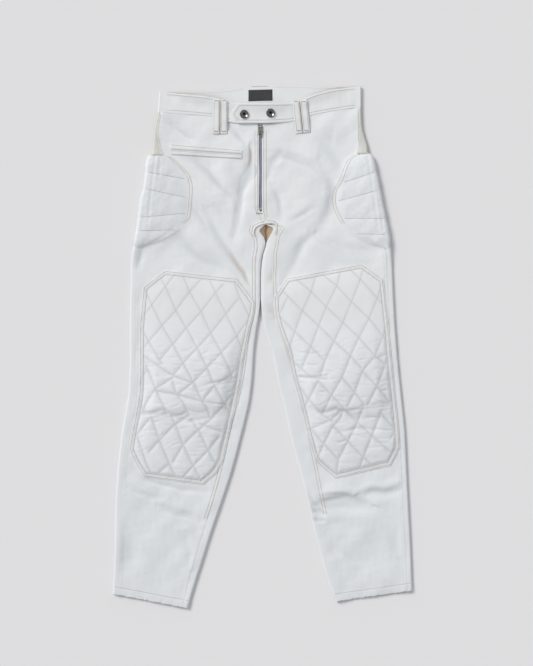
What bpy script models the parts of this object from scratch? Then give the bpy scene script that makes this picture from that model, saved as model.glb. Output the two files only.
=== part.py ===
"""White canvas motocross trousers, laid flat with the front upwards.

Two front panels lie on two back panels. The back panels wrap over the side fold and the inner-leg
fold, so the outseam and the inseam both lie on the front. Quilted hip pads wrap each side, and an
octagonal quilted pad covers each knee. X runs across the garment, Y runs up towards the waist and Z
is up from the surface. "Right" and "left" are the wearer's: right is at -X. Sizes are millimetres:
`down` is measured from the top of the back waistband and `across` from the centre line.
"""

import math
from collections import namedtuple

import bmesh
import bpy
from mathutils import Matrix, Vector
from mathutils.bvhtree import BVHTree

MM = 0.001
TOP_Y = 522.0
CLOTH = 1.5
SEAM_GAP = 0.3
LIE_GAP = 0.5
HALF_SEAM = SEAM_GAP / 2
PINCH = 0.8

BAND_THICKNESS = 2.4
BAND_TOP_Z = 7.4
BAND_RADIUS = 2.9
LOOP_LIFT = 1.9

FRONT_LOFT = 6.5
KNEE_LOFT = 7.0
HEM_LOFT = 6.0
CREASE_FADE = 16.0

HIP_PAD_THICKNESS = 6.0
HIP_PUFF = 1.8
KNEE_PAD_RIM = 2.4
KNEE_PAD_THICKNESS = 5.0
KNEE_DOME = 4.5
KNEE_PUFF = 2.0
KNEE_REFINE = 3
DIAMOND_WIDTH = 48.0
DIAMOND_LENGTH = 71.0

ZIP_ACROSS = -4.2
ZIP_TOP = 81.0
ZIP_BOTTOM = 250.0
CHAIN_WIDTH = 5.0
CHAIN_THICKNESS = 2.0
CHAIN_Z = 4.7
TAPE_Z = 3.8
TAPE_THICKNESS = 0.6
TAPE_WIDTH = 12.0
ZIP_OPENING = 3.1
SLIDER_OPENING = 4.6
SLIDER_WIDTH = 8.0
SLIDER_LENGTH = 12.0

OUTER, INNER = "outer", "inner"

WHITE = (0.86, 0.88, 0.88, 1.0)
PAD_WHITE = (0.85, 0.87, 0.88, 1.0)
CREAM = (0.84, 0.82, 0.74, 1.0)
BLACK = (0.02, 0.02, 0.025, 1.0)
NICKEL = (0.62, 0.62, 0.63, 1.0)
ZINC = (0.36, 0.38, 0.41, 1.0)
TAPE = (0.84, 0.85, 0.85, 1.0)

# The outline from above: (down, across) along each side fold and each inner-leg fold.
OUTER_EDGE = {
    "right": (
        (14, -206), (55, -209), (89, -215), (115, -218), (140.5, -221), (141.2, -227), (160, -232),
        (189, -235), (229, -243), (269, -249), (309, -255), (349, -262), (389, -263), (469, -265),
        (549, -265), (609, -267), (649, -273), (689, -280), (729, -285), (769, -289), (829, -293),
        (929, -295), (1016, -299),
    ),
    "left": (
        (3, 197), (45, 197), (79, 198), (99, 202), (119, 209), (137.5, 211), (138.2, 217), (169, 226),
        (209, 235), (249, 243), (289, 251), (329, 257), (389, 260), (469, 264), (549, 270),
        (629, 278), (689, 284), (769, 288), (829, 291), (929, 296), (1009, 299),
    ),
}
INNER_EDGE = {
    "right": (
        (279, 5.85), (292, -4.6), (305, 3), (321, 3.4), (341, -2), (357, -5), (409, -5.6),
        (451, -6), (489, -12), (529, -17), (589, -21), (629, -26), (669, -35), (709, -45),
        (769, -61), (829, -80.4), (889, -101), (949, -120), (1009, -139), (1044, -149),
    ),
    "left": (
        (279, 6.15), (287, 20.6), (303, 13.6), (322, 9), (341, 2.6), (357, 1), (377, -2),
        (451, -2), (479, 2), (509, 11), (535, 20), (589, 30), (649, 45), (709, 58), (769, 74),
        (829, 90), (889, 103), (949, 119), (1009, 137), (1031, 147),
    ),
}
# How far the seams lie in from those folds: (down, inset). At the hips it is the pad's front curve.
OUTSEAM = {
    "right": (
        (55, 8), (107, 15), (140.5, 28), (141.2, 34), (155, 55), (179, 80), (217, 93), (262, 96),
        (290, 82), (305, 64), (315, 40), (326, 12), (345, 10), (1016, 10),
    ),
    "left": (
        (45, 6), (99, 8), (137.5, 20), (138.2, 26), (152, 46), (187, 68), (216, 88), (240, 93),
        (268, 88), (295, 76), (310, 56), (320, 34), (328, 12), (345, 10), (1009, 10),
    ),
}
INSEAM = {
    "right": (
        (279, 22), (292, 14), (321, 12), (357, 8), (430, 7), (479, 9), (571, 14), (616, 18.6),
        (696, 21.6), (776, 18.4), (857, 15.4), (960, 14), (1044, 10),
    ),
    "left": (
        (279, 23), (292, 12), (322, 14), (357, 20), (420, 22.5), (451, 25.5), (535, 26.5), (589, 29),
        (689, 31.5), (769, 28), (829, 24), (905, 24), (960, 26), (1031, 18),
    ),
}
# Where the hip pad's lower edge comes round from the underside to the front: (down, length round).
PAD_TURN = {
    "right": ((291, -84), (303, -62), (312, -30), (316.7, -9), (321.3, 4), (326, 10)),
    "left": ((291, -80), (303, -62), (314, -30), (318.7, -9), (323.3, 4), (328, 10)),
}
# The centre seam bends to the crotch point: (down, across).
CENTRE_SEAM = ((0, -4.2), (255, -4.2), (265, 0), (273, 4.5), (279, 6))
# Radius of the side fold and of the inner-leg fold: (down, radius).
SIDE_FOLD = ((14, 2.9), (55, 3.0), (115, 4.0), (137.5, 4.6), (138.2, 6.8), (300, 6.8), (330, 5.0),
             (370, 3.5), (1000, 3.5), (1016, 3.8))
LEG_FOLD = ((279, 3.4), (1000, 3.5), (1044, 3.8))

# The waistband from above: (across, down) along each edge.
BAND_FRONT_TOP = (
    (-206, 14), (-159, 19), (-111, 24), (-79, 30), (-50, 38), (0, 38), (54, 37), (80, 31),
    (91, 25), (116, 16), (148, 9), (197, 3),
)
BAND_FRONT_SEAM = (
    (-209, 55), (-103, 64), (-49, 77), (0, 77), (54, 74), (94, 62), (160, 50), (197, 45),
)
BAND_BACK_TOP = ((-206, 14), (-111, 11), (-63, 8), (-25, 2), (27, 0), (53, 0), (116, 2), (197, 3))

# A row lies across the garment: its distance down at the side fold and, on the front and on the back,
# at the centre seam or inner-leg fold. `steps` is how many strips lie between it and the row above.
Row = namedtuple("Row", "name side front back steps")
ROWS = {
    "right": (
        Row("waist", 55, 77, 41, 0), Row("gusset end", 140.5, 150, 132, 4),
        Row("pad top", 141.2, 150.8, 132.9, 1), Row("seat", 214, 214, 204, 4),
        Row("fly end", 254, 251, 244, 2), Row("fork above", 284, 273, 275, 2),
        Row("fork", 291, 279, 279, 1), Row("fork below", 303, 292, 292, 1),
        Row("pad turns", 312, 303, 303, 1), Row("pad tip", 326, 321, 321, 3),
        Row("outseam start", 331, 328, 328, 1),
        Row("knee pad top", 363, 391, 391, 2), Row("upper corners", 400, 435, 435, 2),
        Row("knee", 600, 632, 632, 4), Row("lower corners", 726, 753, 753, 4),
        Row("knee pad end", 775, 804, 804, 2), Row("calf", 869, 891, 891, 3),
        Row("hem fold", 1000, 1029, 1029, 3), Row("hem", 1015.6, 1044, 1044, 1),
    ),
    "left": (
        Row("waist", 45, 77, 41, 0), Row("gusset end", 137.5, 150, 132, 4),
        Row("pad top", 138.2, 150.8, 132.9, 1), Row("seat", 214, 214, 204, 4),
        Row("fly end", 254, 251, 244, 2), Row("fork above", 285, 273, 275, 2),
        Row("fork", 291, 279, 279, 1), Row("fork below", 303, 287, 287, 1),
        Row("pad turns", 314, 298, 298, 1), Row("pad tip", 328, 316, 316, 3),
        Row("outseam start", 332, 322, 322, 1),
        Row("knee pad top", 346, 395, 395, 2), Row("upper corners", 385, 428, 428, 2),
        Row("knee", 599, 639, 639, 4), Row("lower corners", 722, 756, 756, 4),
        Row("knee pad end", 752, 800, 800, 2), Row("calf", 869, 885, 885, 3),
        Row("hem fold", 993, 1016, 1016, 3), Row("hem", 1008.6, 1030.6, 1030.6, 1),
    ),
}
# The knee pad's own edges, as insets from the side fold and from the inner-leg fold.
PadEdge = namedtuple("PadEdge", "side_down side_inset inner_inset")
KNEE_PAD = {
    "right": (
        PadEdge(363, 68, 45), PadEdge(381.5, 46, 26), PadEdge(400, 26, 9), PadEdge(480, 20, 15),
        PadEdge(540, 20, 21), PadEdge(600, 21, 25), PadEdge(660, 21, 24), PadEdge(726, 19, 22),
        PadEdge(750, 33, 28), PadEdge(775, 53, 47),
    ),
    "left": (
        PadEdge(346, 61, 51), PadEdge(365, 40, 38), PadEdge(385, 19, 25.5), PadEdge(480, 13, 29),
        PadEdge(599, 12, 32), PadEdge(700, 12, 34), PadEdge(722, 12, 35), PadEdge(737, 21, 49),
        PadEdge(752, 32, 64),
    ),
}
KNEE_COLUMNS = 9
# Darts shape each knee: down at the pad's edge, length inwards, slope and the cloth taken up.
Dart = namedtuple("Dart", "edge down length rise intake")
DARTS = {
    "right": (
        Dart("side", 546, 100, 44, 13), Dart("side", 657, 62, -4, 14),
        Dart("inner", 588, 54, 7, 12), Dart("inner", 697, 60, -20, 13),
    ),
    "left": (
        Dart("side", 642, 66, 6, 13), Dart("side", 520, 30, 6, 7),
        Dart("inner", 582, 70, 6, 13), Dart("inner", 693, 64, -28, 14),
    ),
}

# Creases of the front: how high they stand (below zero, how deep), their half width and their line
# as (across, down) points.
Crease = namedtuple("Crease", "name height width line")
CREASES = (
    Crease("waist drag", -1.2, 8, ((-195, 71), (-174, 86), (-149, 105), (-137, 112))),
    Crease("pocket drag", -1.6, 9, ((-156, 149), (-111, 171), (-78, 215), (-48, 238))),
    Crease("pocket ridge", 1.5, 13, ((-128, 186), (-96, 212), (-70, 246), (-62, 280))),
    Crease("fly fold", -1.7, 8, ((-27, 120), (-28, 161), (-38, 209), (-54, 244))),
    Crease("right thigh fold", -1.7, 9, ((-141, 241), (-101, 293), (-67, 333), (-49, 361), (-31, 396))),
    Crease("right thigh lip", 1.8, 9, ((-86, 332), (-62, 362), (-46, 388))),
    Crease("left arch", -1.4, 9, ((15, 179), (33, 153), (47, 141), (85, 153), (121, 179))),
    Crease("left arch ridge", 1.4, 16, ((52, 190), (78, 195), (96, 225), (88, 262))),
    Crease("left fly side", -1.2, 7, ((25, 185), (28, 230), (29, 275))),
    Crease("left thigh fold", -1.9, 11, ((27, 372), (45, 352), (75, 331), (108, 316))),
    Crease("left thigh swell", 1.5, 16, ((60, 366), (110, 350), (160, 338))),
    Crease("left shin hollow", -2.0, 12, ((119, 839), (140, 820), (170, 822), (210, 836))),
    Crease("left shin ridge", 1.8, 12, ((122, 862), (165, 858), (215, 868))),
    Crease("right shin fold", -1.3, 9, ((-205, 840), (-179, 856), (-124, 867))),
    Crease("right shin ridge", 1.1, 12, ((-200, 862), (-170, 882), (-128, 892))),
)

# Channels across each hip pad, as downs at the side fold and at the pad's curve.
Channel = namedtuple("Channel", "at_fold at_curve")
HIP_CHANNELS = {
    "right": (Channel(173, 187), Channel(206, 226), Channel(266, 258), Channel(292, 293)),
    "left": (Channel(171, 194), Channel(208, 233), Channel(267, 269), Channel(299, 301)),
}
HIP_COLUMNS = 14
HIP_CROWD = 0.35

# The pocket's two welts, as corner points (across, down): mouth side first.
Welt = namedtuple("Welt", "name start end start_height end_height")
WELTS = (
    Welt("pocket_welt_upper", (-184, 129.4), (-40, 138.4), -11.0, -7.5),
    Welt("pocket_welt_lower", (-183, 130.4), (-40, 139.4), 9.5, 9.0),
)
WELT_THICKNESS = 1.2

# Double belt loops: where the middle starts and ends, as (across, down).
BeltLoop = namedtuple("BeltLoop", "name start end")
FRONT_LOOPS = (
    BeltLoop("loop_front_right", (-84, 30.5), (-85, 98)),
    BeltLoop("loop_front_left", (74, 32.5), (81, 96)),
)
BACK_LOOPS = (
    BeltLoop("loop_back_right", (-170, 14.0), (-172, 80)),
    BeltLoop("loop_back_centre", (-1, 2.0), (-1, 68)),
    BeltLoop("loop_back_left", (165, 4.0), (167, 70)),
)
STRAP_WIDTH = 14.0
STRAP_PITCH = 15.0
STRAP_THICKNESS = 1.4

TAB_POINT = -61.0
TAB_SHOULDER = -49.0
BAND_RIGHT_END = 6.0
SNAPS = (("snap_right", (-36.5, 59.5)), ("snap_left", (16, 57)))
SNAP_RADIUS = 8.6
SNAP_HEIGHT = 3.0
LABEL_CORNER = (-28, 10.0)
LABEL_SIZE = (48, 22.5)
LABEL_THICKNESS = 0.7


def clear_scene():
    for thing in list(bpy.data.objects):
        bpy.data.objects.remove(thing, do_unlink=True)


def smoothstep(value):
    value = max(0.0, min(1.0, value))
    return value * value * (3 - 2 * value)


def slopes(table):
    """Tangents of a curve through a table that never swings past its rows."""
    rise = [(b[1] - a[1]) / (b[0] - a[0]) for a, b in zip(table, table[1:])]
    inner = [0.0 if p * q <= 0 else 2 * p * q / (p + q) for p, q in zip(rise, rise[1:])]
    return [rise[0], *inner, rise[-1]]


def along(table, where):
    """The value of a (place, value) table at a place, on a smooth curve through its rows."""
    if where <= table[0][0]:
        return table[0][1]
    if where >= table[-1][0]:
        return table[-1][1]
    tangent = slopes(table)
    index = max(i for i, row in enumerate(table) if row[0] <= where)
    (x0, y0), (x1, y1) = table[index], table[index + 1]
    span = x1 - x0
    t = (where - x0) / span
    start = (1 + 2 * t) * (1 - t) ** 2 * y0 + t * (1 - t) ** 2 * span * tangent[index]
    end = t * t * (3 - 2 * t) * y1 + t * t * (t - 1) * span * tangent[index + 1]
    return start + end


def mix(a, b, t):
    return a + (b - a) * t


def distance_to_line(point, line):
    """Distance from a point to a broken line, and how far along the line the nearest place lies."""
    best = (1e9, 0.0)
    lengths = [math.dist(a, b) for a, b in zip(line, line[1:])]
    total = sum(lengths)
    passed = 0.0
    for a, b, length in zip(line, line[1:], lengths):
        t = ((point[0] - a[0]) * (b[0] - a[0]) + (point[1] - a[1]) * (b[1] - a[1])) / length**2
        t = max(0.0, min(1.0, t))
        gap = math.dist(point, (mix(a[0], b[0], t), mix(a[1], b[1], t)))
        if gap < best[0]:
            best = (gap, (passed + t * length) / total)
        passed += length
    return best


def crease_height(across, down):
    """How far the creases lift or sink the front cloth at a place."""
    height = 0.0
    for crease in CREASES:
        gap, share = distance_to_line((across, down), crease.line)
        if gap < 3 * crease.width:
            fade = 0.35 + 0.65 * math.sin(math.pi * share)
            height += crease.height * fade * math.exp(-((gap / crease.width) ** 2))
    return height


def loop_lift(down):
    """The back rests on its belt loops near the waist, so it lies that much above the surface."""
    return LOOP_LIFT * (1 - smoothstep((down - 84) / 60))


class Section:
    """One row across a trouser half: its folds, its seams and the height of its front cloth."""

    def __init__(self, side, side_down, front_down, back_down, index, last_trunk, tip):
        self.side = side
        self.sign = 1 if side == "right" else -1
        self.down = side_down
        self.trunk = index <= last_trunk
        self.outer = (along(OUTER_EDGE[side], side_down), side_down)
        inner = CENTRE_SEAM if self.trunk else INNER_EDGE[side]
        self.front_inner = (along(inner, front_down), front_down)
        self.back_inner = (along(inner, back_down), back_down)
        self.lift = loop_lift(side_down)
        self.side_radius = along(SIDE_FOLD, side_down)
        self.leg_radius = 0.0 if self.trunk else along(LEG_FOLD, front_down)
        self.bow = 1 - smoothstep((side_down - ROWS[side][0].side) / 95) if self.trunk else 0.0
        self.front_width = math.dist(self.outer, self.front_inner)
        self.set_seams(front_down, index, tip)

    def set_seams(self, front_down, index, tip):
        self.curve = along(OUTSEAM[self.side], self.down)
        over = self.over(OUTER, self.curve)
        self.front_from = over + HALF_SEAM
        turn = PAD_TURN[self.side]
        if index > tip:
            self.back_from = over - HALF_SEAM
        elif self.down >= turn[0][0]:
            self.back_from = max(-over, min(along(turn, self.down), over - 1.4)) - HALF_SEAM
        else:
            self.back_from = -over - HALF_SEAM
        if self.trunk:
            opening = HALF_SEAM
            if front_down < ZIP_BOTTOM + 2:
                opening = ZIP_OPENING
            if front_down < ZIP_TOP + SLIDER_LENGTH + 6:
                opening = SLIDER_OPENING
            self.front_to = opening
            self.back_to = -HALF_SEAM
        else:
            inseam = along(INSEAM[self.side], front_down)
            self.front_to = self.over(INNER, inseam) + HALF_SEAM
            self.back_to = self.over(INNER, inseam) - HALF_SEAM

    def radius(self, end):
        return self.side_radius if end == OUTER else self.leg_radius

    def over(self, end, inset):
        """Length round the fold to a place on top that lies `inset` in from the fold's edge."""
        radius = self.radius(end)
        return radius * math.pi / 2 + inset - radius

    def inset(self, end, length):
        return length - self.radius(end) * math.pi / 2 + self.radius(end)

    def plan(self, from_side, on_front):
        """The point from above at a distance in from the side fold, along this row."""
        end = self.front_inner if on_front else self.back_inner
        width = math.dist(self.outer, end)
        across = mix(self.outer[0], end[0], from_side / width)
        down = mix(self.outer[1], end[1], from_side / width)
        if self.bow and on_front:
            down += self.bow * band_bow(self.side, across)
        return across, down

    def loft(self, from_side):
        """Height of the front cloth's outer face."""
        side_top = self.lift + 2 * self.side_radius
        down = self.down
        base = mix(FRONT_LOFT, KNEE_LOFT, smoothstep((down - 420) / 160))
        base = mix(base, HEM_LOFT, smoothstep((down - 700) / 160))
        reach = max(34.0, self.curve + 16)
        height = base + (side_top - base) * (1 - smoothstep((from_side - self.side_radius) / reach))
        edge = from_side - self.side_radius - (self.curve if self.curve > 12 else 0) * 0.8
        if not self.trunk:
            leg_top = self.lift + 2 * self.leg_radius
            from_leg = self.front_width - self.leg_radius - from_side
            height += (leg_top - base) * (1 - smoothstep(from_leg / 34.0))
            edge = min(edge, from_leg)
        across, at_down = self.plan(from_side, True)
        height += crease_height(across, at_down) * smoothstep(edge / CREASE_FADE)
        return height

    def at(self, end, length, depth=0.0):
        """A point of the wall, `length` round from the fold's edge (above zero on the front)."""
        radius = self.radius(end)
        quarter = radius * math.pi / 2
        on_front = length >= 0
        if length >= quarter:
            from_fold = radius + length - quarter
        elif length <= -quarter:
            from_fold = radius - length - quarter
            height = self.lift + depth
        else:
            angle = length / radius
            from_fold = radius - (radius - depth) * math.cos(angle)
            height = self.lift + radius + (radius - depth) * math.sin(angle)
        width = math.dist(self.outer, self.front_inner if on_front else self.back_inner)
        from_side = from_fold if end == OUTER else width - from_fold
        if length >= quarter:
            height = self.loft(from_side) - depth
        across, down = self.plan(from_side, on_front)
        return Vector((across, TOP_Y - down, height))


def waist_line(side, across, on_front):
    """How far down a straight waist seam would lie, from the side fold to the centre."""
    first = ROWS[side][0]
    outer = along(OUTER_EDGE[side], first.side)
    share = (across - outer) / (CENTRE_SEAM[0][1] - outer)
    return mix(first.side, first.front if on_front else first.back, share)


def band_bow(side, across):
    """How far the front waist seam bends away from a straight line across the garment half."""
    return along(BAND_FRONT_SEAM, across) - waist_line(side, across, True)


def sections(side):
    """All rows of one trouser half, with the strips between the named rows filled in."""
    rows = ROWS[side]
    names = [row.name for row in rows]
    index_of = {rows[0].name: 0}
    for above, row in zip(rows, rows[1:]):
        index_of[row.name] = index_of[above.name] + row.steps
    made = []
    for above, row in zip(rows, rows[1:]):
        for step in range(row.steps):
            t = step / row.steps
            made.append([mix(above[i], row[i], t) for i in (1, 2, 3)])
    made.append([rows[-1][i] for i in (1, 2, 3)])
    last_trunk, tip = index_of["fork above"], index_of["pad tip"]
    found = [Section(side, *downs, i, last_trunk, tip) for i, downs in enumerate(made)]
    return found, {name: index_of[name] for name in names}


def grid_faces(mesh, grid, flip=False):
    for upper, lower in zip(grid, grid[1:]):
        for a, b, c, d in zip(upper, upper[1:], lower[1:], lower):
            mesh.faces.new((d, c, b, a) if flip else (a, b, c, d))


def rim_faces(mesh, fine, coarse):
    """Joins a fine edge to a coarse one that has every n-th of its points."""
    share = (len(fine) - 1) // (len(coarse) - 1)
    for i, (a, b) in enumerate(zip(coarse, coarse[1:])):
        run = fine[i * share : (i + 1) * share + 1]
        if share == 1:
            mesh.faces.new((a, b, run[1], run[0]))
            continue
        middle = share // 2
        for j in range(share):
            mesh.faces.new((a if j < middle else b, run[j + 1], run[j]))
        mesh.faces.new((a, b, run[middle]))


def make_material(name, colour, roughness, metallic):
    material = bpy.data.materials.get(name) or bpy.data.materials.new(name)
    material.use_nodes = True
    shader = material.node_tree.nodes["Principled BSDF"]
    shader.inputs["Base Color"].default_value = colour
    shader.inputs["Roughness"].default_value = roughness
    shader.inputs["Metallic"].default_value = metallic
    return material


FINISHES = {
    "canvas": (WHITE, 0.85, 0.0),
    "quilting": (PAD_WHITE, 0.8, 0.0),
    "rib": (CREAM, 0.9, 0.0),
    "label": (BLACK, 0.7, 0.0),
    "nickel": (NICKEL, 0.2, 1.0),
    "zinc": (ZINC, 0.45, 1.0),
    "tape": (TAPE, 0.9, 0.0),
}


def finish_object(name, mesh, finish):
    """Turns a closed bmesh in millimetres into a named object in metres."""
    bmesh.ops.recalc_face_normals(mesh, faces=mesh.faces)
    bmesh.ops.scale(mesh, vec=(MM, MM, MM), verts=mesh.verts)
    data = bpy.data.meshes.new(name)
    mesh.to_mesh(data)
    mesh.free()
    data.materials.append(make_material(finish, *FINISHES[finish]))
    thing = bpy.data.objects.new(name, data)
    bpy.context.scene.collection.objects.link(thing)
    return thing


def wall(name, outside, inside, finish):
    """A closed cloth wall between an outer grid of points and an inner one, which may be coarser."""
    mesh = bmesh.new()
    out = [[mesh.verts.new(p) for p in row] for row in outside]
    back = [[mesh.verts.new(p) for p in row] for row in inside]
    grid_faces(mesh, out)
    grid_faces(mesh, back, flip=True)
    for fine, coarse in (
        (out[0], back[0]),
        (out[-1], back[-1]),
        ([row[0] for row in out], [row[0] for row in back]),
        ([row[-1] for row in out], [row[-1] for row in back]),
    ):
        rim_faces(mesh, fine, coarse)
    return finish_object(name, mesh, finish)


def knee_pad_insets(side, down):
    edges = KNEE_PAD[side]
    outer = along([(e.side_down, e.side_inset) for e in edges], down)
    inner = along([(e.side_down, e.inner_inset) for e in edges], down)
    return outer, inner


def front_columns(section):
    """Distances in from the side fold at which the front panel has its columns."""
    start = section.inset(OUTER, section.front_from)
    end = section.front_width - section.inset(INNER, section.front_to)
    pad = KNEE_PAD[section.side]
    if pad[0].side_down - 1 <= section.down <= pad[-1].side_down + 1:
        outer, inner = knee_pad_insets(section.side, section.down)
        first = max(outer, start + PINCH)
        last = min(section.front_width - inner, end - PINCH)
    else:
        first = mix(start, end, 1 / (KNEE_COLUMNS + 2))
        last = mix(start, end, (KNEE_COLUMNS + 1) / (KNEE_COLUMNS + 2))
    middle = [mix(first, last, i / KNEE_COLUMNS) for i in range(KNEE_COLUMNS + 1)]
    return [start, *middle, end]


def front_point(section, from_side, above=0.0):
    across, down = section.plan(from_side, True)
    return Vector((across, TOP_Y - down, section.loft(from_side) + above))


def build_front(side, rows):
    outside = [[front_point(s, d) for d in front_columns(s)] for s in rows]
    inside = [[front_point(s, d, -CLOTH) for d in front_columns(s)] for s in rows]
    return wall(f"front_{side}", outside, inside, "canvas")


def back_columns(section):
    """Places round the section for the back panel: over the side fold, under, over the inner fold."""
    fold_angles = (90, 45, 0, -45, -90)
    nominal = max(section.side_radius, 3.4)
    side = [section.back_from]
    for count, angle in enumerate(fold_angles, start=1):
        side.append(min(math.radians(angle) * nominal, section.back_from - count * PINCH))
    radius = section.leg_radius or 3.4
    leg = [section.back_to]
    for count, angle in enumerate(fold_angles, start=1):
        leg.append(min(math.radians(angle) * radius, section.back_to - count * PINCH))
    width = math.dist(section.outer, section.back_inner)
    flat_from = section.side_radius * (1 - math.pi / 2) - side[-1]
    flat_to = width - (section.leg_radius * (1 - math.pi / 2) - leg[-1])
    places = [(OUTER, length) for length in side]
    for share in (1 / 3, 2 / 3):
        from_side = mix(flat_from, flat_to, share)
        places.append((OUTER, section.side_radius * (1 - math.pi / 2) - from_side))
    places += [(INNER, length) for length in reversed(leg)]
    return places


def build_back(side, rows):
    outside = [[s.at(end, length) for end, length in back_columns(s)] for s in rows]
    inside = [[s.at(end, length, CLOTH) for end, length in back_columns(s)] for s in rows]
    return wall(f"back_{side}", outside, inside, "canvas")


def hip_columns(section):
    """Lengths round a hip pad for its columns, closer together where it bends round the fold."""
    turn = PAD_TURN[section.side]
    crowd = mix(HIP_CROWD, 1.0, smoothstep((section.down - turn[0][0] + 20) / 40))
    gap = SEAM_GAP + 0.5 * smoothstep((section.down - turn[1][0]) / 10)
    top, bottom = section.front_from - SEAM_GAP, section.back_from + gap
    shares = [1 - 2 * i / HIP_COLUMNS for i in range(HIP_COLUMNS + 1)]
    return [(top + bottom) / 2 + (top - bottom) / 2 * (crowd * p + (1 - crowd) * p**3) for p in shares]


def build_gusset(side, rows):
    """The rib panel at the side between the waistband and the hip pad."""
    def places(section):
        reach = section.front_from - SEAM_GAP
        angles = [math.radians(a) * section.side_radius for a in (90, 45, 0, -45, -90)]
        return [reach, *angles, -reach]

    outside = [[s.at(OUTER, length) for length in places(s)] for s in rows]
    inside = [[s.at(OUTER, length, CLOTH) for length in places(s)] for s in rows]
    return wall(f"side_{side}", outside, inside, "rib")


def hip_puff(side, section, length):
    """How far a hip pad's channels stand out at a place, nothing at its curve, seams and underside."""
    reach = section.front_from
    share = max(0.0, length) / reach
    first, last = ROWS[side][2].side, OUTSEAM[side][-3][0]
    lines = [first, *(mix(c.at_fold, c.at_curve, share) for c in HIP_CHANNELS[side]), last]
    puff = 0.0
    for above, below in zip(lines, lines[1:]):
        if above < section.down < below:
            puff = math.sin(math.pi * (section.down - above) / (below - above)) ** 0.6
    quarter = section.side_radius * math.pi / 2
    return HIP_PUFF * puff * smoothstep((reach - length) / 14) * smoothstep((length + quarter) / quarter)


def hip_thickness(section, length):
    """Padding between the cloths, limited by half the room under the front cloth."""
    from_side = section.inset(OUTER, max(abs(length), section.side_radius * math.pi / 2))
    room = (section.loft(from_side) - section.lift - 2 * LIE_GAP) / 2
    full = max(CLOTH, min(HIP_PAD_THICKNESS, room))
    from_edge = min(section.front_from - length, length - section.back_from)
    return mix(CLOTH, full, smoothstep(from_edge / 14))


def build_hip_pad(side, rows):
    outside, inside = [], []
    for section in rows:
        lengths = hip_columns(section)
        outside.append([section.at(OUTER, x, -hip_puff(side, section, x)) for x in lengths])
        inside.append([section.at(OUTER, x, hip_thickness(section, x)) for x in lengths])
    return wall(f"hip_pad_{side}", outside, inside, "quilting")


def dart_shift(side, down, share):
    """Cloth taken up by the darts above a place, which moves the quilting along the pad."""
    shift = 0.0
    width = 230.0
    for dart in DARTS[side]:
        from_edge = share * width if dart.edge == "side" else (1 - share) * width
        if from_edge < dart.length:
            at = dart.down + dart.rise * from_edge / dart.length
            taken = dart.intake * (1 - from_edge / dart.length)
            shift += taken * smoothstep((down - at + 4) / 8)
    return shift


def knee_height(side, share, down, row_share):
    """Thickness of the knee pad over the front panel: rim, foam, dome over the knee and diamonds."""
    edges = KNEE_PAD[side]
    middle_down = (edges[0].side_down + edges[-1].side_down) / 2
    lean = (share - 0.5) * 230.0
    cloth_down = down - edges[0].side_down + dart_shift(side, down, share)
    p = lean / DIAMOND_WIDTH + cloth_down / DIAMOND_LENGTH
    q = lean / DIAMOND_WIDTH - cloth_down / DIAMOND_LENGTH
    puff = abs(math.sin(math.pi * p) * math.sin(math.pi * q)) ** 0.7
    edge = min(share, 1 - share) * 230.0
    end = min(row_share, 1 - row_share) * (edges[-1].side_down - edges[0].side_down)
    inside = smoothstep(min(edge, end) / 20)
    dome = math.exp(-(((down - middle_down - 12) / 70) ** 2)) * math.sin(math.pi * share) ** 1.5
    return mix(KNEE_PAD_RIM, KNEE_PAD_THICKNESS, inside) + inside * (KNEE_PUFF * puff + KNEE_DOME * dome)


def build_knee_pad(side, rows):
    """Its underside follows the front panel's own points, and its top is three times finer."""
    edges = KNEE_PAD[side]
    base = [[front_point(s, d) for d in front_columns(s)[1:-1]] for s in rows]
    lie = Vector((0, 0, SEAM_GAP))
    inside = [[p + lie for p in row] for row in base]
    first, last = edges[0].side_down, edges[-1].side_down
    outside = []
    fine_rows = (len(rows) - 1) * KNEE_REFINE
    for i in range(fine_rows + 1):
        upper = min(i // KNEE_REFINE, len(rows) - 2)
        t = i / KNEE_REFINE - upper
        down = mix(rows[upper].down, rows[upper + 1].down, t)
        row_share = (down - first) / (last - first)
        line = []
        for j in range(KNEE_COLUMNS * KNEE_REFINE + 1):
            left = min(j // KNEE_REFINE, KNEE_COLUMNS - 1)
            u = j / KNEE_REFINE - left
            above = base[upper][left].lerp(base[upper][left + 1], u)
            below = base[upper + 1][left].lerp(base[upper + 1][left + 1], u)
            share = j / (KNEE_COLUMNS * KNEE_REFINE)
            height = SEAM_GAP + knee_height(side, share, down, row_share)
            line.append(above.lerp(below, t) + Vector((0, 0, height)))
        outside.append(line)
    return wall(f"knee_pad_{side}", outside, inside, "quilting")


def band_point(across, share, on_front, height):
    top = along(BAND_FRONT_TOP if on_front else BAND_BACK_TOP, across)
    side = "right" if across < ZIP_ACROSS else "left"
    seam = along(BAND_FRONT_SEAM, across) if on_front else waist_line(side, across, False)
    return Vector((across, TOP_Y - mix(top, seam - SEAM_GAP, share), height))


BAND_SHARES = (0.0, 0.5, 1.0)
BAND_SIDE_FLAT = 12.0


def band_side(side, share):
    """Where the waistband's side fold lies, part of the way from its top edge to its seam."""
    top, seam = (-206, -209) if side == "right" else (197, 197)
    return mix(top, seam, share)


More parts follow.
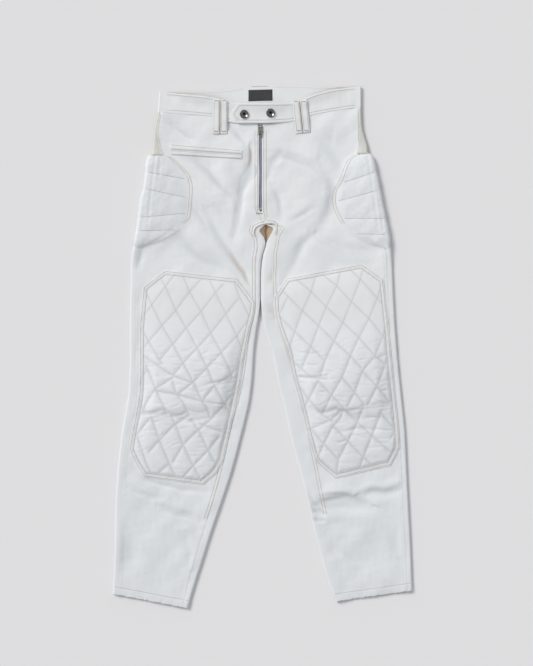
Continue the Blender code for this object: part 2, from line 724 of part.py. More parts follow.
def build_band_half(side):
    """The front of the waistband. The left one runs on past the zip as the tab."""
    sign = 1 if side == "right" else -1
    columns = 12
    outside, inside = [], []
    for share in BAND_SHARES:
        start = band_side(side, share) + sign * (BAND_SIDE_FLAT + SEAM_GAP)
        if side == "right":
            end = BAND_RIGHT_END
        else:
            end = mix(TAB_SHOULDER, TAB_POINT, 1 - abs(2 * share - 1))
        row, under = [], []
        for i in range(columns + 1):
            across = mix(start, end, i / columns)
            height = BAND_TOP_Z
            if side == "left":
                rise = BAND_THICKNESS + LIE_GAP
                height += rise * (1 - smoothstep((across - BAND_RIGHT_END - 4) / 50))
            point = band_point(across, share, True, height)
            row.append(point)
            under.append(point - Vector((0, 0, BAND_THICKNESS)))
        outside.append(row)
        inside.append(under)
    return wall(f"waistband_{side}", outside, inside, "canvas")


def build_band_back():
    """The back of the waistband, which comes over both side folds to the front."""
    angles = (90, 45, 0, -45, -90)
    outside, inside = [], []
    for share in BAND_SHARES:
        for grid, depth in ((outside, 0.0), (inside, BAND_THICKNESS)):
            row = []
            for side in ("right", "left"):
                edge = band_side(side, share)
                sign = 1 if side == "right" else -1
                flat = edge + sign * BAND_SIDE_FLAT
                part = [band_point(flat, share, True, BAND_TOP_Z - depth)]
                for angle in angles:
                    turn = math.radians(angle)
                    radius = BAND_RADIUS - depth
                    across = edge + sign * (BAND_RADIUS - radius * math.cos(turn))
                    height = LOOP_LIFT + BAND_RADIUS + radius * math.sin(turn)
                    part.append(band_point(across, share, angle >= 0, height))
                if side == "right":
                    row += part
                    for i in range(1, 8):
                        first, last = band_side("right", share), ZIP_ACROSS
                        if i > 4:
                            first, last = ZIP_ACROSS, band_side("left", share)
                        across = mix(first, last, (i - 1) % 4 / 4 + 0.25 if i < 8 else 1)
                        row.append(band_point(across, share, False, LOOP_LIFT + depth))
                else:
                    row += reversed(part)
            grid.append(row)
    return wall("waistband_back", outside, inside, "canvas")


def surface_of(things):
    """A tree of the built pieces' faces, to find how high they stand at a place."""
    points, faces = [], []
    for thing in things:
        start = len(points)
        points += [v.co / MM for v in thing.data.vertices]
        faces += [[start + i for i in face.vertices] for face in thing.data.polygons]
    return BVHTree.FromPolygons(points, faces)


def height_at(tree, across, down):
    hit = tree.ray_cast(Vector((across, TOP_Y - down, 200.0)), Vector((0, 0, -1)))
    return hit[0].z if hit[0] else None


def lay_strip(name, tree, corner, columns, rows, thickness, finish, rise=LIE_GAP):
    """A strip that lies on what is under it. `corner` gives its point for two shares from 0 to 1."""
    outside, inside = [], []
    for i in range(rows + 1):
        lower, upper = [], []
        for j in range(columns + 1):
            across, down = corner(i / rows, j / columns)
            height = height_at(tree, across, down) + rise
            lower.append(Vector((across, TOP_Y - down, height)))
            upper.append(Vector((across, TOP_Y - down, height + thickness)))
        outside.append(upper)
        inside.append(lower)
    return wall(name, outside, inside, finish)


def build_welts(front):
    tree = surface_of([front])
    for welt in WELTS:
        def corner(down_share, across_share, welt=welt):
            across = mix(welt.start[0], welt.end[0], across_share)
            down = mix(welt.start[1], welt.end[1], across_share)
            height = mix(welt.start_height, welt.end_height, across_share)
            return across, down + height * down_share

        lay_strip(welt.name, tree, corner, 24, 2, WELT_THICKNESS, "canvas", rise=SEAM_GAP)


def strap_corner(loop, offset):
    """Points of one strap of a double belt loop, `offset` mm from the loop's middle line."""
    length = math.dist(loop.start, loop.end)
    along_x = (loop.end[0] - loop.start[0]) / length
    along_y = (loop.end[1] - loop.start[1]) / length

    def corner(down_share, across_share):
        aside = offset + (across_share - 0.5) * STRAP_WIDTH
        across = loop.start[0] + along_x * length * down_share + along_y * aside
        down = loop.start[1] + along_y * length * down_share - along_x * aside
        return across, down

    return corner


def straightened(tree, corner, rows):
    """Heights along a strap that bridges hollows, as a stiff folded strap does."""
    heights = []
    for i in range(rows + 1):
        found = [height_at(tree, *corner(i / rows, share / 6)) for share in range(7)]
        heights.append(max(h for h in found if h is not None))
    for _ in range(2):
        heights = [
            max(h, (heights[max(0, i - 1)] + heights[min(rows, i + 1)]) / 2)
            for i, h in enumerate(heights)
        ]
    return heights


def build_front_loops(things):
    tree = surface_of(things)
    rows = 10
    for loop in FRONT_LOOPS:
        for suffix, offset in (("a", -STRAP_PITCH / 2), ("b", STRAP_PITCH / 2)):
            corner = strap_corner(loop, offset)
            heights = straightened(tree, corner, rows)
            outside, inside = [], []
            for i, height in enumerate(heights):
                places = [corner(i / rows, share) for share in (0, 1)]
                lower = [Vector((x, TOP_Y - d, height + LIE_GAP)) for x, d in places]
                inside.append(lower)
                outside.append([p + Vector((0, 0, STRAP_THICKNESS)) for p in lower])
            wall(f"{loop.name}_{suffix}", outside, inside, "canvas")


def build_back_loops():
    """Straps under the back waistband, flat on the surface."""
    for loop in BACK_LOOPS:
        for suffix, offset in (("a", -STRAP_PITCH / 2), ("b", STRAP_PITCH / 2)):
            corner = strap_corner(loop, offset)
            outside, inside = [], []
            for share in (0, 0.5, 1):
                places = [corner(share, side) for side in (0, 1)]
                outside.append([Vector((x, TOP_Y - d, STRAP_THICKNESS)) for x, d in places])
                inside.append([Vector((x, TOP_Y - d, 0.0)) for x, d in places])
            wall(f"{loop.name}_{suffix}", outside, inside, "canvas")


def build_label():
    def corner(down_share, across_share):
        across = LABEL_CORNER[0] + LABEL_SIZE[0] * across_share
        return across, LABEL_CORNER[1] + LABEL_SIZE[1] * down_share - 1.2 * across_share

    inside_face = LOOP_LIFT + BAND_THICKNESS
    outside, inside = [], []
    for i in (0, 1):
        places = [corner(i, j) for j in (0, 1)]
        inside.append([Vector((x, TOP_Y - d, inside_face + SEAM_GAP)) for x, d in places])
        outside.append([p + Vector((0, 0, LABEL_THICKNESS)) for p in inside[-1]])
    return wall("label", outside, inside, "label")


def turned(name, profile, centre, finish, segments=24):
    """A solid turned round a vertical axis from (radius, height) points, bottom to top."""
    mesh = bmesh.new()
    rings = []
    for radius, height in profile:
        if radius == 0:
            rings.append([mesh.verts.new((0, 0, height))])
            continue
        turns = [2 * math.pi * i / segments for i in range(segments)]
        rings.append([mesh.verts.new((radius * math.cos(t), radius * math.sin(t), height)) for t in turns])
    for lower, upper in zip(rings, rings[1:]):
        for i in range(segments):
            j = (i + 1) % segments
            if len(lower) == 1:
                mesh.faces.new((lower[0], upper[j], upper[i]))
            elif len(upper) == 1:
                mesh.faces.new((lower[i], lower[j], upper[0]))
            else:
                mesh.faces.new((lower[i], lower[j], upper[j], upper[i]))
    bmesh.ops.translate(mesh, vec=centre, verts=mesh.verts)
    return finish_object(name, mesh, finish)


def build_snaps():
    """Domed press-stud caps on the tab, each with a rolled edge."""
    base = BAND_TOP_Z + BAND_THICKNESS + LIE_GAP + SEAM_GAP
    radius = SNAP_RADIUS
    profile = [(0, 0), (radius - 0.8, 0), (radius, 0.8), (radius - 0.3, 1.5)]
    for turn in (25, 50, 70):
        angle = math.radians(turn)
        rise = 1.5 + (SNAP_HEIGHT - 1.5) * math.sin(angle)
        profile.append(((radius - 0.3) * math.cos(angle), rise))
    profile.append((0, SNAP_HEIGHT))
    for name, (across, down) in SNAPS:
        turned(name, profile, Vector((across, TOP_Y - down, base)), "nickel")


def box(mesh, low, high):
    made = bmesh.ops.create_cube(mesh, size=1.0)["verts"]
    size = [b - a for a, b in zip(low, high)]
    middle = [(a + b) / 2 for a, b in zip(low, high)]
    bmesh.ops.scale(mesh, vec=size, verts=made)
    bmesh.ops.translate(mesh, vec=middle, verts=made)
    return made


PULL_THICKNESS = 1.0
PULL_DROP = 5.5
# The zip's pull tab from above, as (aside, forwards) points on one half: its edge, then its hole.
PULL_EDGE = ((1.2, 0.6), (2.6, 0.6), (3.2, 0.0), (3.2, -4.6), (2.3, -7.0), (2.5, -9.0), (3.0, -14.5),
             (2.0, -17.0))
PULL_HOLE = ((0.5, -0.6), (1.0, -0.6), (1.6, -1.0), (1.6, -2.6), (1.6, -4.4), (1.2, -5.0),
             (0.9, -5.2), (0.4, -5.3))
# The zip slider from the side, as (forwards, up) points from the middle of its bridge.
SLIDER_SIDE = ((-5.0, -4.85), (7.0, -4.85), (7.0, -2.6), (6.0, -1.4), (4.0, -0.85), (-3.6, -0.85),
               (-5.0, -2.0))
BRIDGE_SIDE = ((-4.0, -1.4), (-4.0, 0.7), (-3.0, 1.7), (3.0, 1.7), (4.0, 0.7), (4.0, -1.4),
               (2.2, -1.4), (2.2, 0.4), (1.8, 0.85), (-1.8, 0.85), (-2.2, 0.4), (-2.2, -1.4))
BRIDGE_WIDTH = 2.2
PIVOT = Vector((ZIP_ACROSS, TOP_Y - 88.0, CHAIN_Z + 4.85))


def side_profile(name, points, width):
    """A solid with the given outline from the side, `width` across, placed at the pull's pivot."""
    mesh = bmesh.new()
    face = mesh.faces.new([mesh.verts.new((-width / 2, y, z)) for y, z in points])
    moved = bmesh.ops.extrude_face_region(mesh, geom=[face])["geom"]
    pushed = [g for g in moved if isinstance(g, bmesh.types.BMVert)]
    bmesh.ops.translate(mesh, vec=(width, 0, 0), verts=pushed)
    bmesh.ops.translate(mesh, vec=PIVOT, verts=mesh.verts)
    return finish_object(name, mesh, "zinc")


def build_slider():
    """The slider's body with the bridge that holds the pull tab."""
    body = side_profile("zip_slider", SLIDER_SIDE, SLIDER_WIDTH)
    bevel = body.modifiers.new("rounded edges", "BEVEL")
    bevel.width = 0.5 * MM
    bevel.limit_method = "ANGLE"
    bridge = side_profile("bridge", BRIDGE_SIDE, BRIDGE_WIDTH)
    join = body.modifiers.new("bridge", "BOOLEAN")
    join.operation = "UNION"
    join.object = bridge
    bridge.hide_render = True


def mirrored(points):
    """A closed ring of points from one half of it, which starts and ends near the middle line."""
    return [*points, *((-x, y) for x, y in reversed(points))]


def build_pull():
    """The pull tab: a plate with a bar at the slider's bridge, hanging down over the zip."""
    mesh = bmesh.new()
    low = (0.0, -PULL_THICKNESS / 2), (0.0, PULL_THICKNESS / 2)
    rings = [
        [[mesh.verts.new((x, y, z)) for x, y in mirrored(ring)] for ring in (PULL_EDGE, PULL_HOLE)]
        for _, z in low
    ]
    count = len(rings[0][0])
    for i in range(count):
        j = (i + 1) % count
        for edge, hole in rings:
            mesh.faces.new((edge[i], edge[j], hole[j], hole[i]))
        for below, above in zip(*rings):
            mesh.faces.new((below[i], below[j], above[j], above[i]))
    turn = Matrix.Rotation(math.radians(PULL_DROP), 3, "X")
    bmesh.ops.rotate(mesh, cent=(0, 0, 0), matrix=turn, verts=mesh.verts)
    bmesh.ops.translate(mesh, vec=PIVOT, verts=mesh.verts)
    finish_object("zip_pull", mesh, "zinc")


def build_zip():
    top = TOP_Y - ZIP_TOP - SLIDER_LENGTH - SEAM_GAP
    bottom = TOP_Y - ZIP_BOTTOM
    half = CHAIN_WIDTH / 2
    mesh = bmesh.new()
    low = (ZIP_ACROSS - half, bottom + 4.3, CHAIN_Z)
    box(mesh, low, (ZIP_ACROSS + half, top, CHAIN_Z + CHAIN_THICKNESS))
    finish_object("zip_chain", mesh, "zinc")
    stop = bmesh.new()
    box(stop, (ZIP_ACROSS - 2.6, bottom + 1.0, CHAIN_Z), (ZIP_ACROSS + 2.6, bottom + 4.0, CHAIN_Z + 2.2))
    finish_object("zip_stop", stop, "zinc")
    for name, start, end in (
        ("zip_tape_right", -TAPE_WIDTH, -HALF_SEAM), ("zip_tape_left", HALF_SEAM, TAPE_WIDTH)
    ):
        tape = bmesh.new()
        low = (ZIP_ACROSS + start, bottom, TAPE_Z)
        box(tape, low, (ZIP_ACROSS + end, TOP_Y - ZIP_TOP, TAPE_Z + TAPE_THICKNESS))
        finish_object(name, tape, "tape")
    build_slider()
    build_pull()


def build_half(side):
    rows, index = sections(side)
    front = build_front(side, rows)
    build_back(side, rows)
    build_gusset(side, rows[: index["gusset end"] + 1])
    build_hip_pad(side, rows[index["pad top"] : index["pad tip"] + 1])
    build_knee_pad(side, rows[index["knee pad top"] : index["knee pad end"] + 1])
    return front


def main():
    clear_scene()
    fronts = {side: build_half(side) for side in ("right", "left")}
    bands = [build_band_half("right"), build_band_half("left")]
    build_band_back()
    build_front_loops([*fronts.values(), *bands])
    build_back_loops()
    build_welts(fronts["right"])
    build_label()
    build_snaps()
    build_zip()


main()
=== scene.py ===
import math
from collections import namedtuple

import bpy
import numpy as np
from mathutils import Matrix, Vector
from mathutils.bvhtree import BVHTree


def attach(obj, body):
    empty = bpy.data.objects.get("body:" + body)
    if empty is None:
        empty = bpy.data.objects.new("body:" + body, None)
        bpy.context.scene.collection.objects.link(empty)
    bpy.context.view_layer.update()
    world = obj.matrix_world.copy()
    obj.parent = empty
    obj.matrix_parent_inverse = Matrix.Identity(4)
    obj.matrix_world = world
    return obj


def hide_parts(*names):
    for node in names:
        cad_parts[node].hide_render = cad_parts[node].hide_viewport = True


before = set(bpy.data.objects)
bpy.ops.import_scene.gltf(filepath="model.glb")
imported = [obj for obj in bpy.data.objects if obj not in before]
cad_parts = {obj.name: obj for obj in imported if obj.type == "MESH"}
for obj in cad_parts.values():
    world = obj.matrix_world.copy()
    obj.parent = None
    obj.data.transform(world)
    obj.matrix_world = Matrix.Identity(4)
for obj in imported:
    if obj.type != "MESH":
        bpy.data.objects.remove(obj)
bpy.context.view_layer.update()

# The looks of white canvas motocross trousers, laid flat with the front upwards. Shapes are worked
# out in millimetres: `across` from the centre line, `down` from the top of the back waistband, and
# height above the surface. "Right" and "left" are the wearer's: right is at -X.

MM = 0.001
TOP_Y = 522.0
CLOTH = 1.3
SEAM_GAP = 0.06
HALF_SEAM = SEAM_GAP / 2
OUTER, INNER = "outer", "inner"
SIDES = ("right", "left")

BAND_THICKNESS = 2.4
BAND_TOP_Z = 7.4
BAND_RADIUS = 2.9
LOOP_LIFT = 1.9
FRONT_LOFT, KNEE_LOFT, HEM_LOFT = 6.5, 7.0, 6.0
CREASE_FADE = 16.0
ZIP_ACROSS = -4.2
ZIP_TOP, ZIP_BOTTOM = 81.0, 250.0
ZIP_OPENING, SLIDER_OPENING, SLIDER_LENGTH = 3.1, 4.6, 12.0
CHAIN_Z = 4.7
# The waistband's width, how far its back comes round to the front, and how far its top gapes.
BAND_WIDTH, BAND_WRAP, BAND_GAPE = 38, 12.0, 3.5
HEM_DEPTH, HEM_ROW = 13.5, 15.0
FORK = (6, 279)
# How far in from a side fold its height reaches, and the least radius used to place points round it.
FOLD_REACH, LEAST_RADIUS = 34.0, 3.4
# How many rows the panels have above the fork and below it, and how far apart the pads' rows are.
TRUNK_ROWS, LEG_ROWS, PAD_STEP = 73, 228, 1.9
# How far in from their seams the rows of stitches lie, and where the double row of an inner leg ends.
PAD_ROWS, SEAM_ROWS = (2.2, 8.0), (2.0, 7.5)
DOUBLE_ROW_END = {"right": 850.0, "left": 838.0}
WORLD_STRENGTH, SUN_STRENGTH = 0.58, 2.2

# Each sheet's flat size and area, by the name of its piece.
MEASURES = {}

# The outline from above: (down, across) along each side fold and each inner-leg fold.
OUTER_EDGE = {
    "right": (
        (14, -206), (55, -209), (89, -215), (115, -218), (140.5, -221), (141.2, -227), (160, -232),
        (189, -235), (229, -243), (269, -249), (309, -255), (349, -262), (389, -263), (469, -265),
        (549, -265), (609, -267), (649, -273), (689, -280), (729, -285), (769, -289), (829, -293),
        (929, -295), (1016, -299),
    ),
    "left": (
        (3, 197), (45, 197), (79, 198), (99, 202), (119, 209), (137.5, 211), (138.2, 217), (169, 226),
        (209, 235), (249, 243), (289, 251), (329, 257), (389, 260), (469, 264), (549, 270),
        (629, 278), (689, 284), (769, 288), (829, 291), (929, 296), (1009, 299),
    ),
}
INNER_EDGE = {
    "right": (
        (279, 5.85), (292, -4.6), (305, 3), (321, 3.4), (341, -2), (357, -5), (409, -5.6),
        (451, -6), (489, -12), (529, -17), (589, -21), (629, -26), (669, -35), (709, -45),
        (769, -61), (829, -80.4), (889, -101), (949, -120), (1009, -139), (1044, -149),
    ),
    "left": (
        (279, 6.15), (287, 20.6), (303, 13.6), (322, 9), (341, 2.6), (357, 1), (377, -2),
        (451, -2), (479, 2), (509, 11), (535, 20), (589, 30), (649, 45), (709, 58), (769, 74),
        (829, 90), (889, 103), (949, 119), (1009, 137), (1031, 147),
    ),
}
# How far the seams lie in from those folds: (down, inset). At the hips it is the pad's front curve.
OUTSEAM = {
    "right": (
        (55, 4.4), (92, 5), (118, 12), (141.1, 25), (141.2, 34), (155, 55), (179, 80), (217, 93), (262, 96),
        (290, 82), (305, 64), (315, 40), (326, 12), (345, 10), (1016, 10),
    ),
    "left": (
        (45, 4.4), (82, 5), (106, 11), (138.1, 21), (138.2, 26), (152, 46), (187, 68), (216, 88), (240, 93),
        (268, 88), (295, 76), (310, 56), (320, 34), (328, 12), (345, 10), (1009, 10),
    ),
}
INSEAM = {
    "right": (
        (279, 22), (292, 14), (321, 12), (357, 8), (430, 7), (479, 9), (571, 14), (616, 18.6),
        (696, 21.6), (776, 18.4), (857, 15.4), (960, 14), (1044, 10),
    ),
    "left": (
        (279, 23), (292, 12), (322, 14), (357, 20), (420, 22.5), (451, 25.5), (535, 26.5), (589, 29),
        (689, 31.5), (769, 28), (829, 24), (905, 24), (960, 26), (1031, 18),
    ),
}
# Where the hip pad's lower edge comes round from the underside to the front: (down, length round).
PAD_TURN = {
    "right": ((291, -84), (303, -62), (312, -30), (316.7, -9), (321.3, 4), (326, 10)),
    "left": ((291, -80), (303, -62), (314, -30), (318.7, -9), (323.3, 4), (328, 10)),
}
CENTRE_SEAM = ((0, -4.2), (255, -4.2), (265, 0), (273, 4.5), (279, 6))
SIDE_FOLD = ((14, 2.9), (55, 3.0), (115, 4.0), (160, 6.8), (300, 6.8), (330, 5.0), (370, 3.5),
             (1000, 3.5), (1016, 3.8))
LEG_FOLD = ((279, 3.4), (1000, 3.5), (1044, 3.8))

# The waistband from above: (across, down) along each edge.
BAND_FRONT_TOP = (
    (-206, 14), (-159, 19), (-111, 24), (-79, 30), (-50, 38), (0, 38), (54, 37), (80, 31),
    (91, 25), (116, 16), (148, 9), (197, 3),
)
BAND_FRONT_SEAM = (
    (-209, 55), (-103, 64), (-49, 77), (0, 77), (54, 74), (94, 62), (160, 50), (197, 45),
)
BAND_BACK_TOP = ((-206, 14), (-111, 11), (-63, 8), (-25, 2), (27, 0), (53, 0), (116, 2), (197, 3))

# A row lies across the garment: its distance down at the side fold and, on the front and on the back,
# at the centre seam or inner-leg fold.
Row = namedtuple("Row", "name side front back")
ROWS = {
    "right": (
        Row("waist", 55, 77, 41), Row("gusset end", 141.14, 150.75, 132.85),
        Row("pad top", 141.2, 150.8, 132.9),
        Row("seat", 214, 214, 204), Row("fly end", 254, 251, 244), Row("fork above", 284, 273, 275),
        Row("fork", 291, 279, 279), Row("fork below", 303, 292, 292), Row("pad turns", 312, 303, 303),
        Row("pad tip", 326, 321, 321), Row("outseam start", 331, 328, 328),
        Row("knee pad top", 363, 391, 391), Row("upper corners", 400, 435, 435),
        Row("knee", 600, 632, 632), Row("lower corners", 726, 753, 753),
        Row("knee pad end", 775, 804, 804), Row("calf", 869, 891, 891),
        Row("hem fold", 1000, 1029, 1029), Row("hem", 1015.6, 1044, 1044),
    ),
    "left": (
        Row("waist", 45, 77, 41), Row("gusset end", 138.14, 150.75, 132.85),
        Row("pad top", 138.2, 150.8, 132.9),
        Row("seat", 214, 214, 204), Row("fly end", 254, 251, 244), Row("fork above", 285, 273, 275),
        Row("fork", 291, 279, 279), Row("fork below", 303, 287, 287), Row("pad turns", 314, 298, 298),
        Row("pad tip", 328, 316, 316), Row("outseam start", 332, 322, 322),
        Row("knee pad top", 346, 395, 395), Row("upper corners", 385, 428, 428),
        Row("knee", 599, 639, 639), Row("lower corners", 722, 756, 756),
        Row("knee pad end", 752, 800, 800), Row("calf", 869, 885, 885),
        Row("hem fold", 993, 1016, 1016), Row("hem", 1008.6, 1030.6, 1030.6),
    ),
}
DOWN_AT = {side: {row.name: row.side for row in rows} for side, rows in ROWS.items()}

# The knee pad's own edges, as insets from the side fold and from the inner-leg fold.
PadEdge = namedtuple("PadEdge", "side_down side_inset inner_inset")
KNEE_PAD = {
    "right": (
        PadEdge(363, 68, 45), PadEdge(381.5, 46, 26), PadEdge(400, 26, 9), PadEdge(480, 20, 15),
        PadEdge(540, 20, 21), PadEdge(600, 21, 25), PadEdge(660, 21, 24), PadEdge(726, 19, 22),
        PadEdge(750, 33, 28), PadEdge(775, 53, 47),
    ),
    "left": (
        PadEdge(346, 61, 51), PadEdge(365, 40, 38), PadEdge(385, 19, 25.5), PadEdge(480, 13, 29),
        PadEdge(599, 12, 32), PadEdge(700, 12, 34), PadEdge(722, 12, 35), PadEdge(737, 21, 49),
        PadEdge(752, 32, 64),
    ),
}

# Creases of the front cloth: how high they stand (below zero, how deep), how far one side of the line
# stands over the other, the half width, and the line as (across, down) points.
Crease = namedtuple("Crease", "name height step width line")
CREASES = (
    Crease("waist drag", -2.0, 0.5, 7, ((-190, 72), (-169, 88), (-144, 105), (-123, 114))),
    Crease("pocket drag", -2.8, 0.6, 9,
           ((-157, 147), (-131, 156), (-110, 173), (-89, 198), (-64, 221), (-49, 236))),
    Crease("pocket ridge", 1.8, 0, 15, ((-84, 150), (-72, 180), (-58, 205))),
    Crease("tab drag", -2.2, 0.8, 7, ((-68, 80), (-51, 101), (-30, 122))),
    Crease("fly flap", -0.6, 1.5, 4, ((-26, 121), (-24, 135), (-24, 150), (-28, 173))),
    Crease("fly fold", -2.6, 1.2, 10,
           ((-26, 128), (-28, 173), (-37, 192), (-45, 215), (-48, 240), (-52, 268), (-58, 299))),
    Crease("right thigh fold", -2.0, 0.8, 10, ((-115, 253), (-98, 290), (-77, 324), (-56, 354))),
    Crease("right thigh flap", -0.8, 1.6, 4.5, ((-72, 326), (-56, 352), (-39, 375), (-26, 402))),
    Crease("right thigh lip", 1.8, 0, 9, ((-92, 330), (-66, 362), (-48, 388))),
    Crease("right thigh sweep", -2.4, 0.6, 13,
           ((-178, 292), (-157, 316), (-136, 337), (-115, 349), (-89, 358), (-64, 372))),
    Crease("right hip drag", -1.4, 0.4, 8, ((-141, 246), (-123, 269), (-106, 299))),
    Crease("right hip swell", 1.5, 0, 18, ((-150, 200), (-128, 222), (-100, 240))),
    Crease("right side dent", -1.6, 0, 9, ((-243, 336), (-252, 368))),
    Crease("left arch", -2.4, 1.3, 9,
           ((16, 181), (24, 156), (37, 141), (54, 147), (79, 156), (100, 164), (121, 181))),
    Crease("left mound", 2.2, 0, 24, ((62, 180), (82, 200), (96, 225), (84, 262))),
    Crease("left mound side", -1.8, 1.6, 14, ((121, 172), (134, 195), (138, 218), (130, 250), (110, 284))),
    Crease("left fly side", -1.6, 0.4, 8, ((20, 206), (33, 232), (37, 265))),
    Crease("left crotch fold", -1.3, 0.5, 5, ((54, 274), (79, 261), (100, 248))),
    Crease("left hip drag", -1.3, 0.3, 9, ((117, 147), (134, 114), (142, 97))),
    Crease("left hip hollow", -1.8, 0, 18, ((100, 100), (128, 128), (150, 165), (156, 205))),
    Crease("left thigh fold", -2.6, -0.8, 9, ((40, 392), (50, 372), (62, 349), (79, 316), (96, 300))),
    Crease("left thigh swell", -0.8, 2.0, 11, ((100, 300), (126, 318), (160, 333), (190, 338), (226, 336))),
    Crease("left shin hollow", -1.3, -3.6, 14,
           ((104, 832), (138, 824), (170, 821), (190, 829), (214, 836))),
    Crease("left shin hollow beside", -1.0, -2.6, 11, ((196, 815), (218, 808), (244, 810), (276, 801))),
    Crease("left shin shade", -1.7, 0, 19, ((104, 848), (140, 842), (190, 832))),
    Crease("left shin pinch", -1.2, 0.5, 4, ((112, 824), (130, 819), (160, 818), (178, 825))),
    Crease("left shin ridge", 1.8, 0, 14, ((122, 862), (165, 858), (215, 864))),
    Crease("left inseam pucker", -2.2, 1.2, 4, ((88, 806), (94, 824), (104, 838), (120, 846))),
    Crease("left inseam pucker low", -2.4, 1.2, 4, ((92, 834), (102, 850), (121, 860))),
    Crease("left inseam pucker last", -2.0, 1.0, 3.5, ((98, 862), (108, 870), (122, 872))),
    Crease("left inseam ridge", 1.6, 0, 4, ((94, 822), (106, 844), (122, 853))),
    Crease("left shin fold", -1.0, 0.3, 8, ((142, 930), (163, 934), (180, 947), (205, 953))),
    Crease("left calf drag", -1.0, 0, 12, ((282, 870), (262, 900), (268, 940), (284, 968))),
    Crease("right knee shadow", -1.6, 0, 5,
           ((-262, 759), (-237, 787), (-199, 798), (-157, 808), (-108, 812))),
    Crease("right shin corner", -1.7, 0.9, 6, ((-266, 804), (-245, 816), (-220, 825), (-203, 827))),
    Crease("right shin fold", -2.4, 1.1, 7,
           ((-207, 840), (-190, 850), (-169, 858), (-148, 861), (-127, 871))),
    Crease("right shin ridge", 1.4, 0, 13, ((-200, 868), (-170, 884), (-128, 892))),
    Crease("right calf hollow", -1.5, 0, 22, ((-276, 900), (-268, 930), (-272, 965))),
    Crease("right calf dent", -0.9, 0.2, 9, ((-158, 905), (-148, 935), (-150, 965))),
    Crease("right inseam pucker", -1.2, 0.6, 4, ((-142, 972), (-122, 977))),
)

PAD_FOLDS = (
    Crease("right fold under the knee", -2.4, 1.0, 4.5,
           ((-253, 655), (-222, 656), (-200, 650), (-178, 661), (-150, 673), (-112, 668))),
    Crease("right outer pinch", -1.5, 0.6, 3.5, ((-250, 543), (-228, 556), (-204, 574), (-185, 579))),
    Crease("right inner pinch", -1.5, 0.6, 3.5, ((-108, 597), (-72, 591), (-46, 586))),
    Crease("right knee valley", -1.6, 0, 5, ((-196, 606), (-176, 622), (-160, 640), (-132, 655))),
    Crease("left fold under the knee", -2.4, 1.0, 4.5,
           ((98, 650), (122, 656), (148, 647), (172, 660), (190, 674))),
    Crease("left inner pinch", -1.5, 0.6, 3.5, ((58, 582), (92, 585), (129, 583))),
    Crease("left outer pinch", -1.5, 0.6, 3.5, ((200, 641), (234, 637), (268, 637))),
    Crease("left knee valley", -1.6, 0, 5, ((112, 600), (134, 622), (150, 640), (158, 652))),
    Crease("left low fold", -1.6, 0.6, 4, ((150, 696), (190, 686), (232, 690))),
)

# Where the cloth folds right over itself: along these lines warm shade is painted into the cloth's colour,
# for the little warm light that gets in.
WARM_SHADE_FOLDS = (
    ((-25.5, 124), (-24, 135), (-24, 150), (-26, 165)),
    ((-70, 329), (-56, 352), (-39, 375), (-28, 398)),
)

# Lines that are pressed down the length of each hip pad, as (across, down) points.
HIP_PRESS = {
    "right": (((-213, 141), (-218, 180), (-224, 235), (-228, 285)), ((-204, 146), (-206, 180))),
    "left": (((210, 145), (217, 190), (226, 250), (232, 300)), ((222, 160), (232, 220), (240, 290))),
}
# Channels across each hip pad, as downs at the side fold and at the pad's curve.
Channel = namedtuple("Channel", "at_fold at_curve")
HIP_CHANNELS = {
    "right": (Channel(173, 187), Channel(206, 226), Channel(266, 258), Channel(292, 293)),
    "left": (Channel(171, 194), Channel(208, 233), Channel(267, 269), Channel(299, 301)),
}

# The pocket's two welts, as corner points (across, down): mouth side first.
Welt = namedtuple("Welt", "name start end start_height end_height")
WELTS = (
    Welt("pocket_welt_upper", (-184, 129.4), (-40, 138.4), -11.0, -7.5),
    Welt("pocket_welt_lower", (-183, 130.4), (-40, 139.4), 9.5, 9.0),
)
BeltLoop = namedtuple("BeltLoop", "name start end")
FRONT_LOOPS = (
    BeltLoop("loop_front_right", (-84, 30.5), (-85, 98)),
    BeltLoop("loop_front_left", (74, 32.5), (81, 96)),
)
BACK_LOOPS = (
    BeltLoop("loop_back_right", (-170, 14.0), (-172, 80)),
    BeltLoop("loop_back_centre", (-1, 2.0), (-1, 68)),
    BeltLoop("loop_back_left", (165, 4.0), (167, 70)),
)
STRAP_WIDTH, STRAP_PITCH, STRAP_THICKNESS = 14.0, 15.0, 1.4
TAB_POINT, TAB_SHOULDER, BAND_RIGHT_END = -61.0, -49.0, 6.0
SNAPS = (("snap_right", (-36.5, 59.5)), ("snap_left", (16, 57)))
SNAP_RADIUS, SNAP_HEIGHT, SNAP_BASE_Z = 8.6, 3.0, 10.6
LABEL_CORNER, LABEL_SIZE = (-28, 10.0), (48, 22.5)

# Two rows of stitches on each side of the fly, and the line of the turned edge at the fork.
FLY_ROWS = {
    "right": (((-10.2, 92), (-10.2, 251), (-1, 274)), ((-15, 92), (-15, 246), (-9, 262))),
    "left": (((2.2, 92), (2.2, 251), (6, 270)), ((7.4, 92), (7.4, 250), (10, 266))),
}
FORK_EDGE = (
    (-14.5, 306), (-17.5, 299), (-18, 292), (-15, 285), (-8, 280), (2, 277), (13, 275), (22, 275.5),
    (27.5, 280), (28.5, 288), (26, 296), (21.5, 303),
)

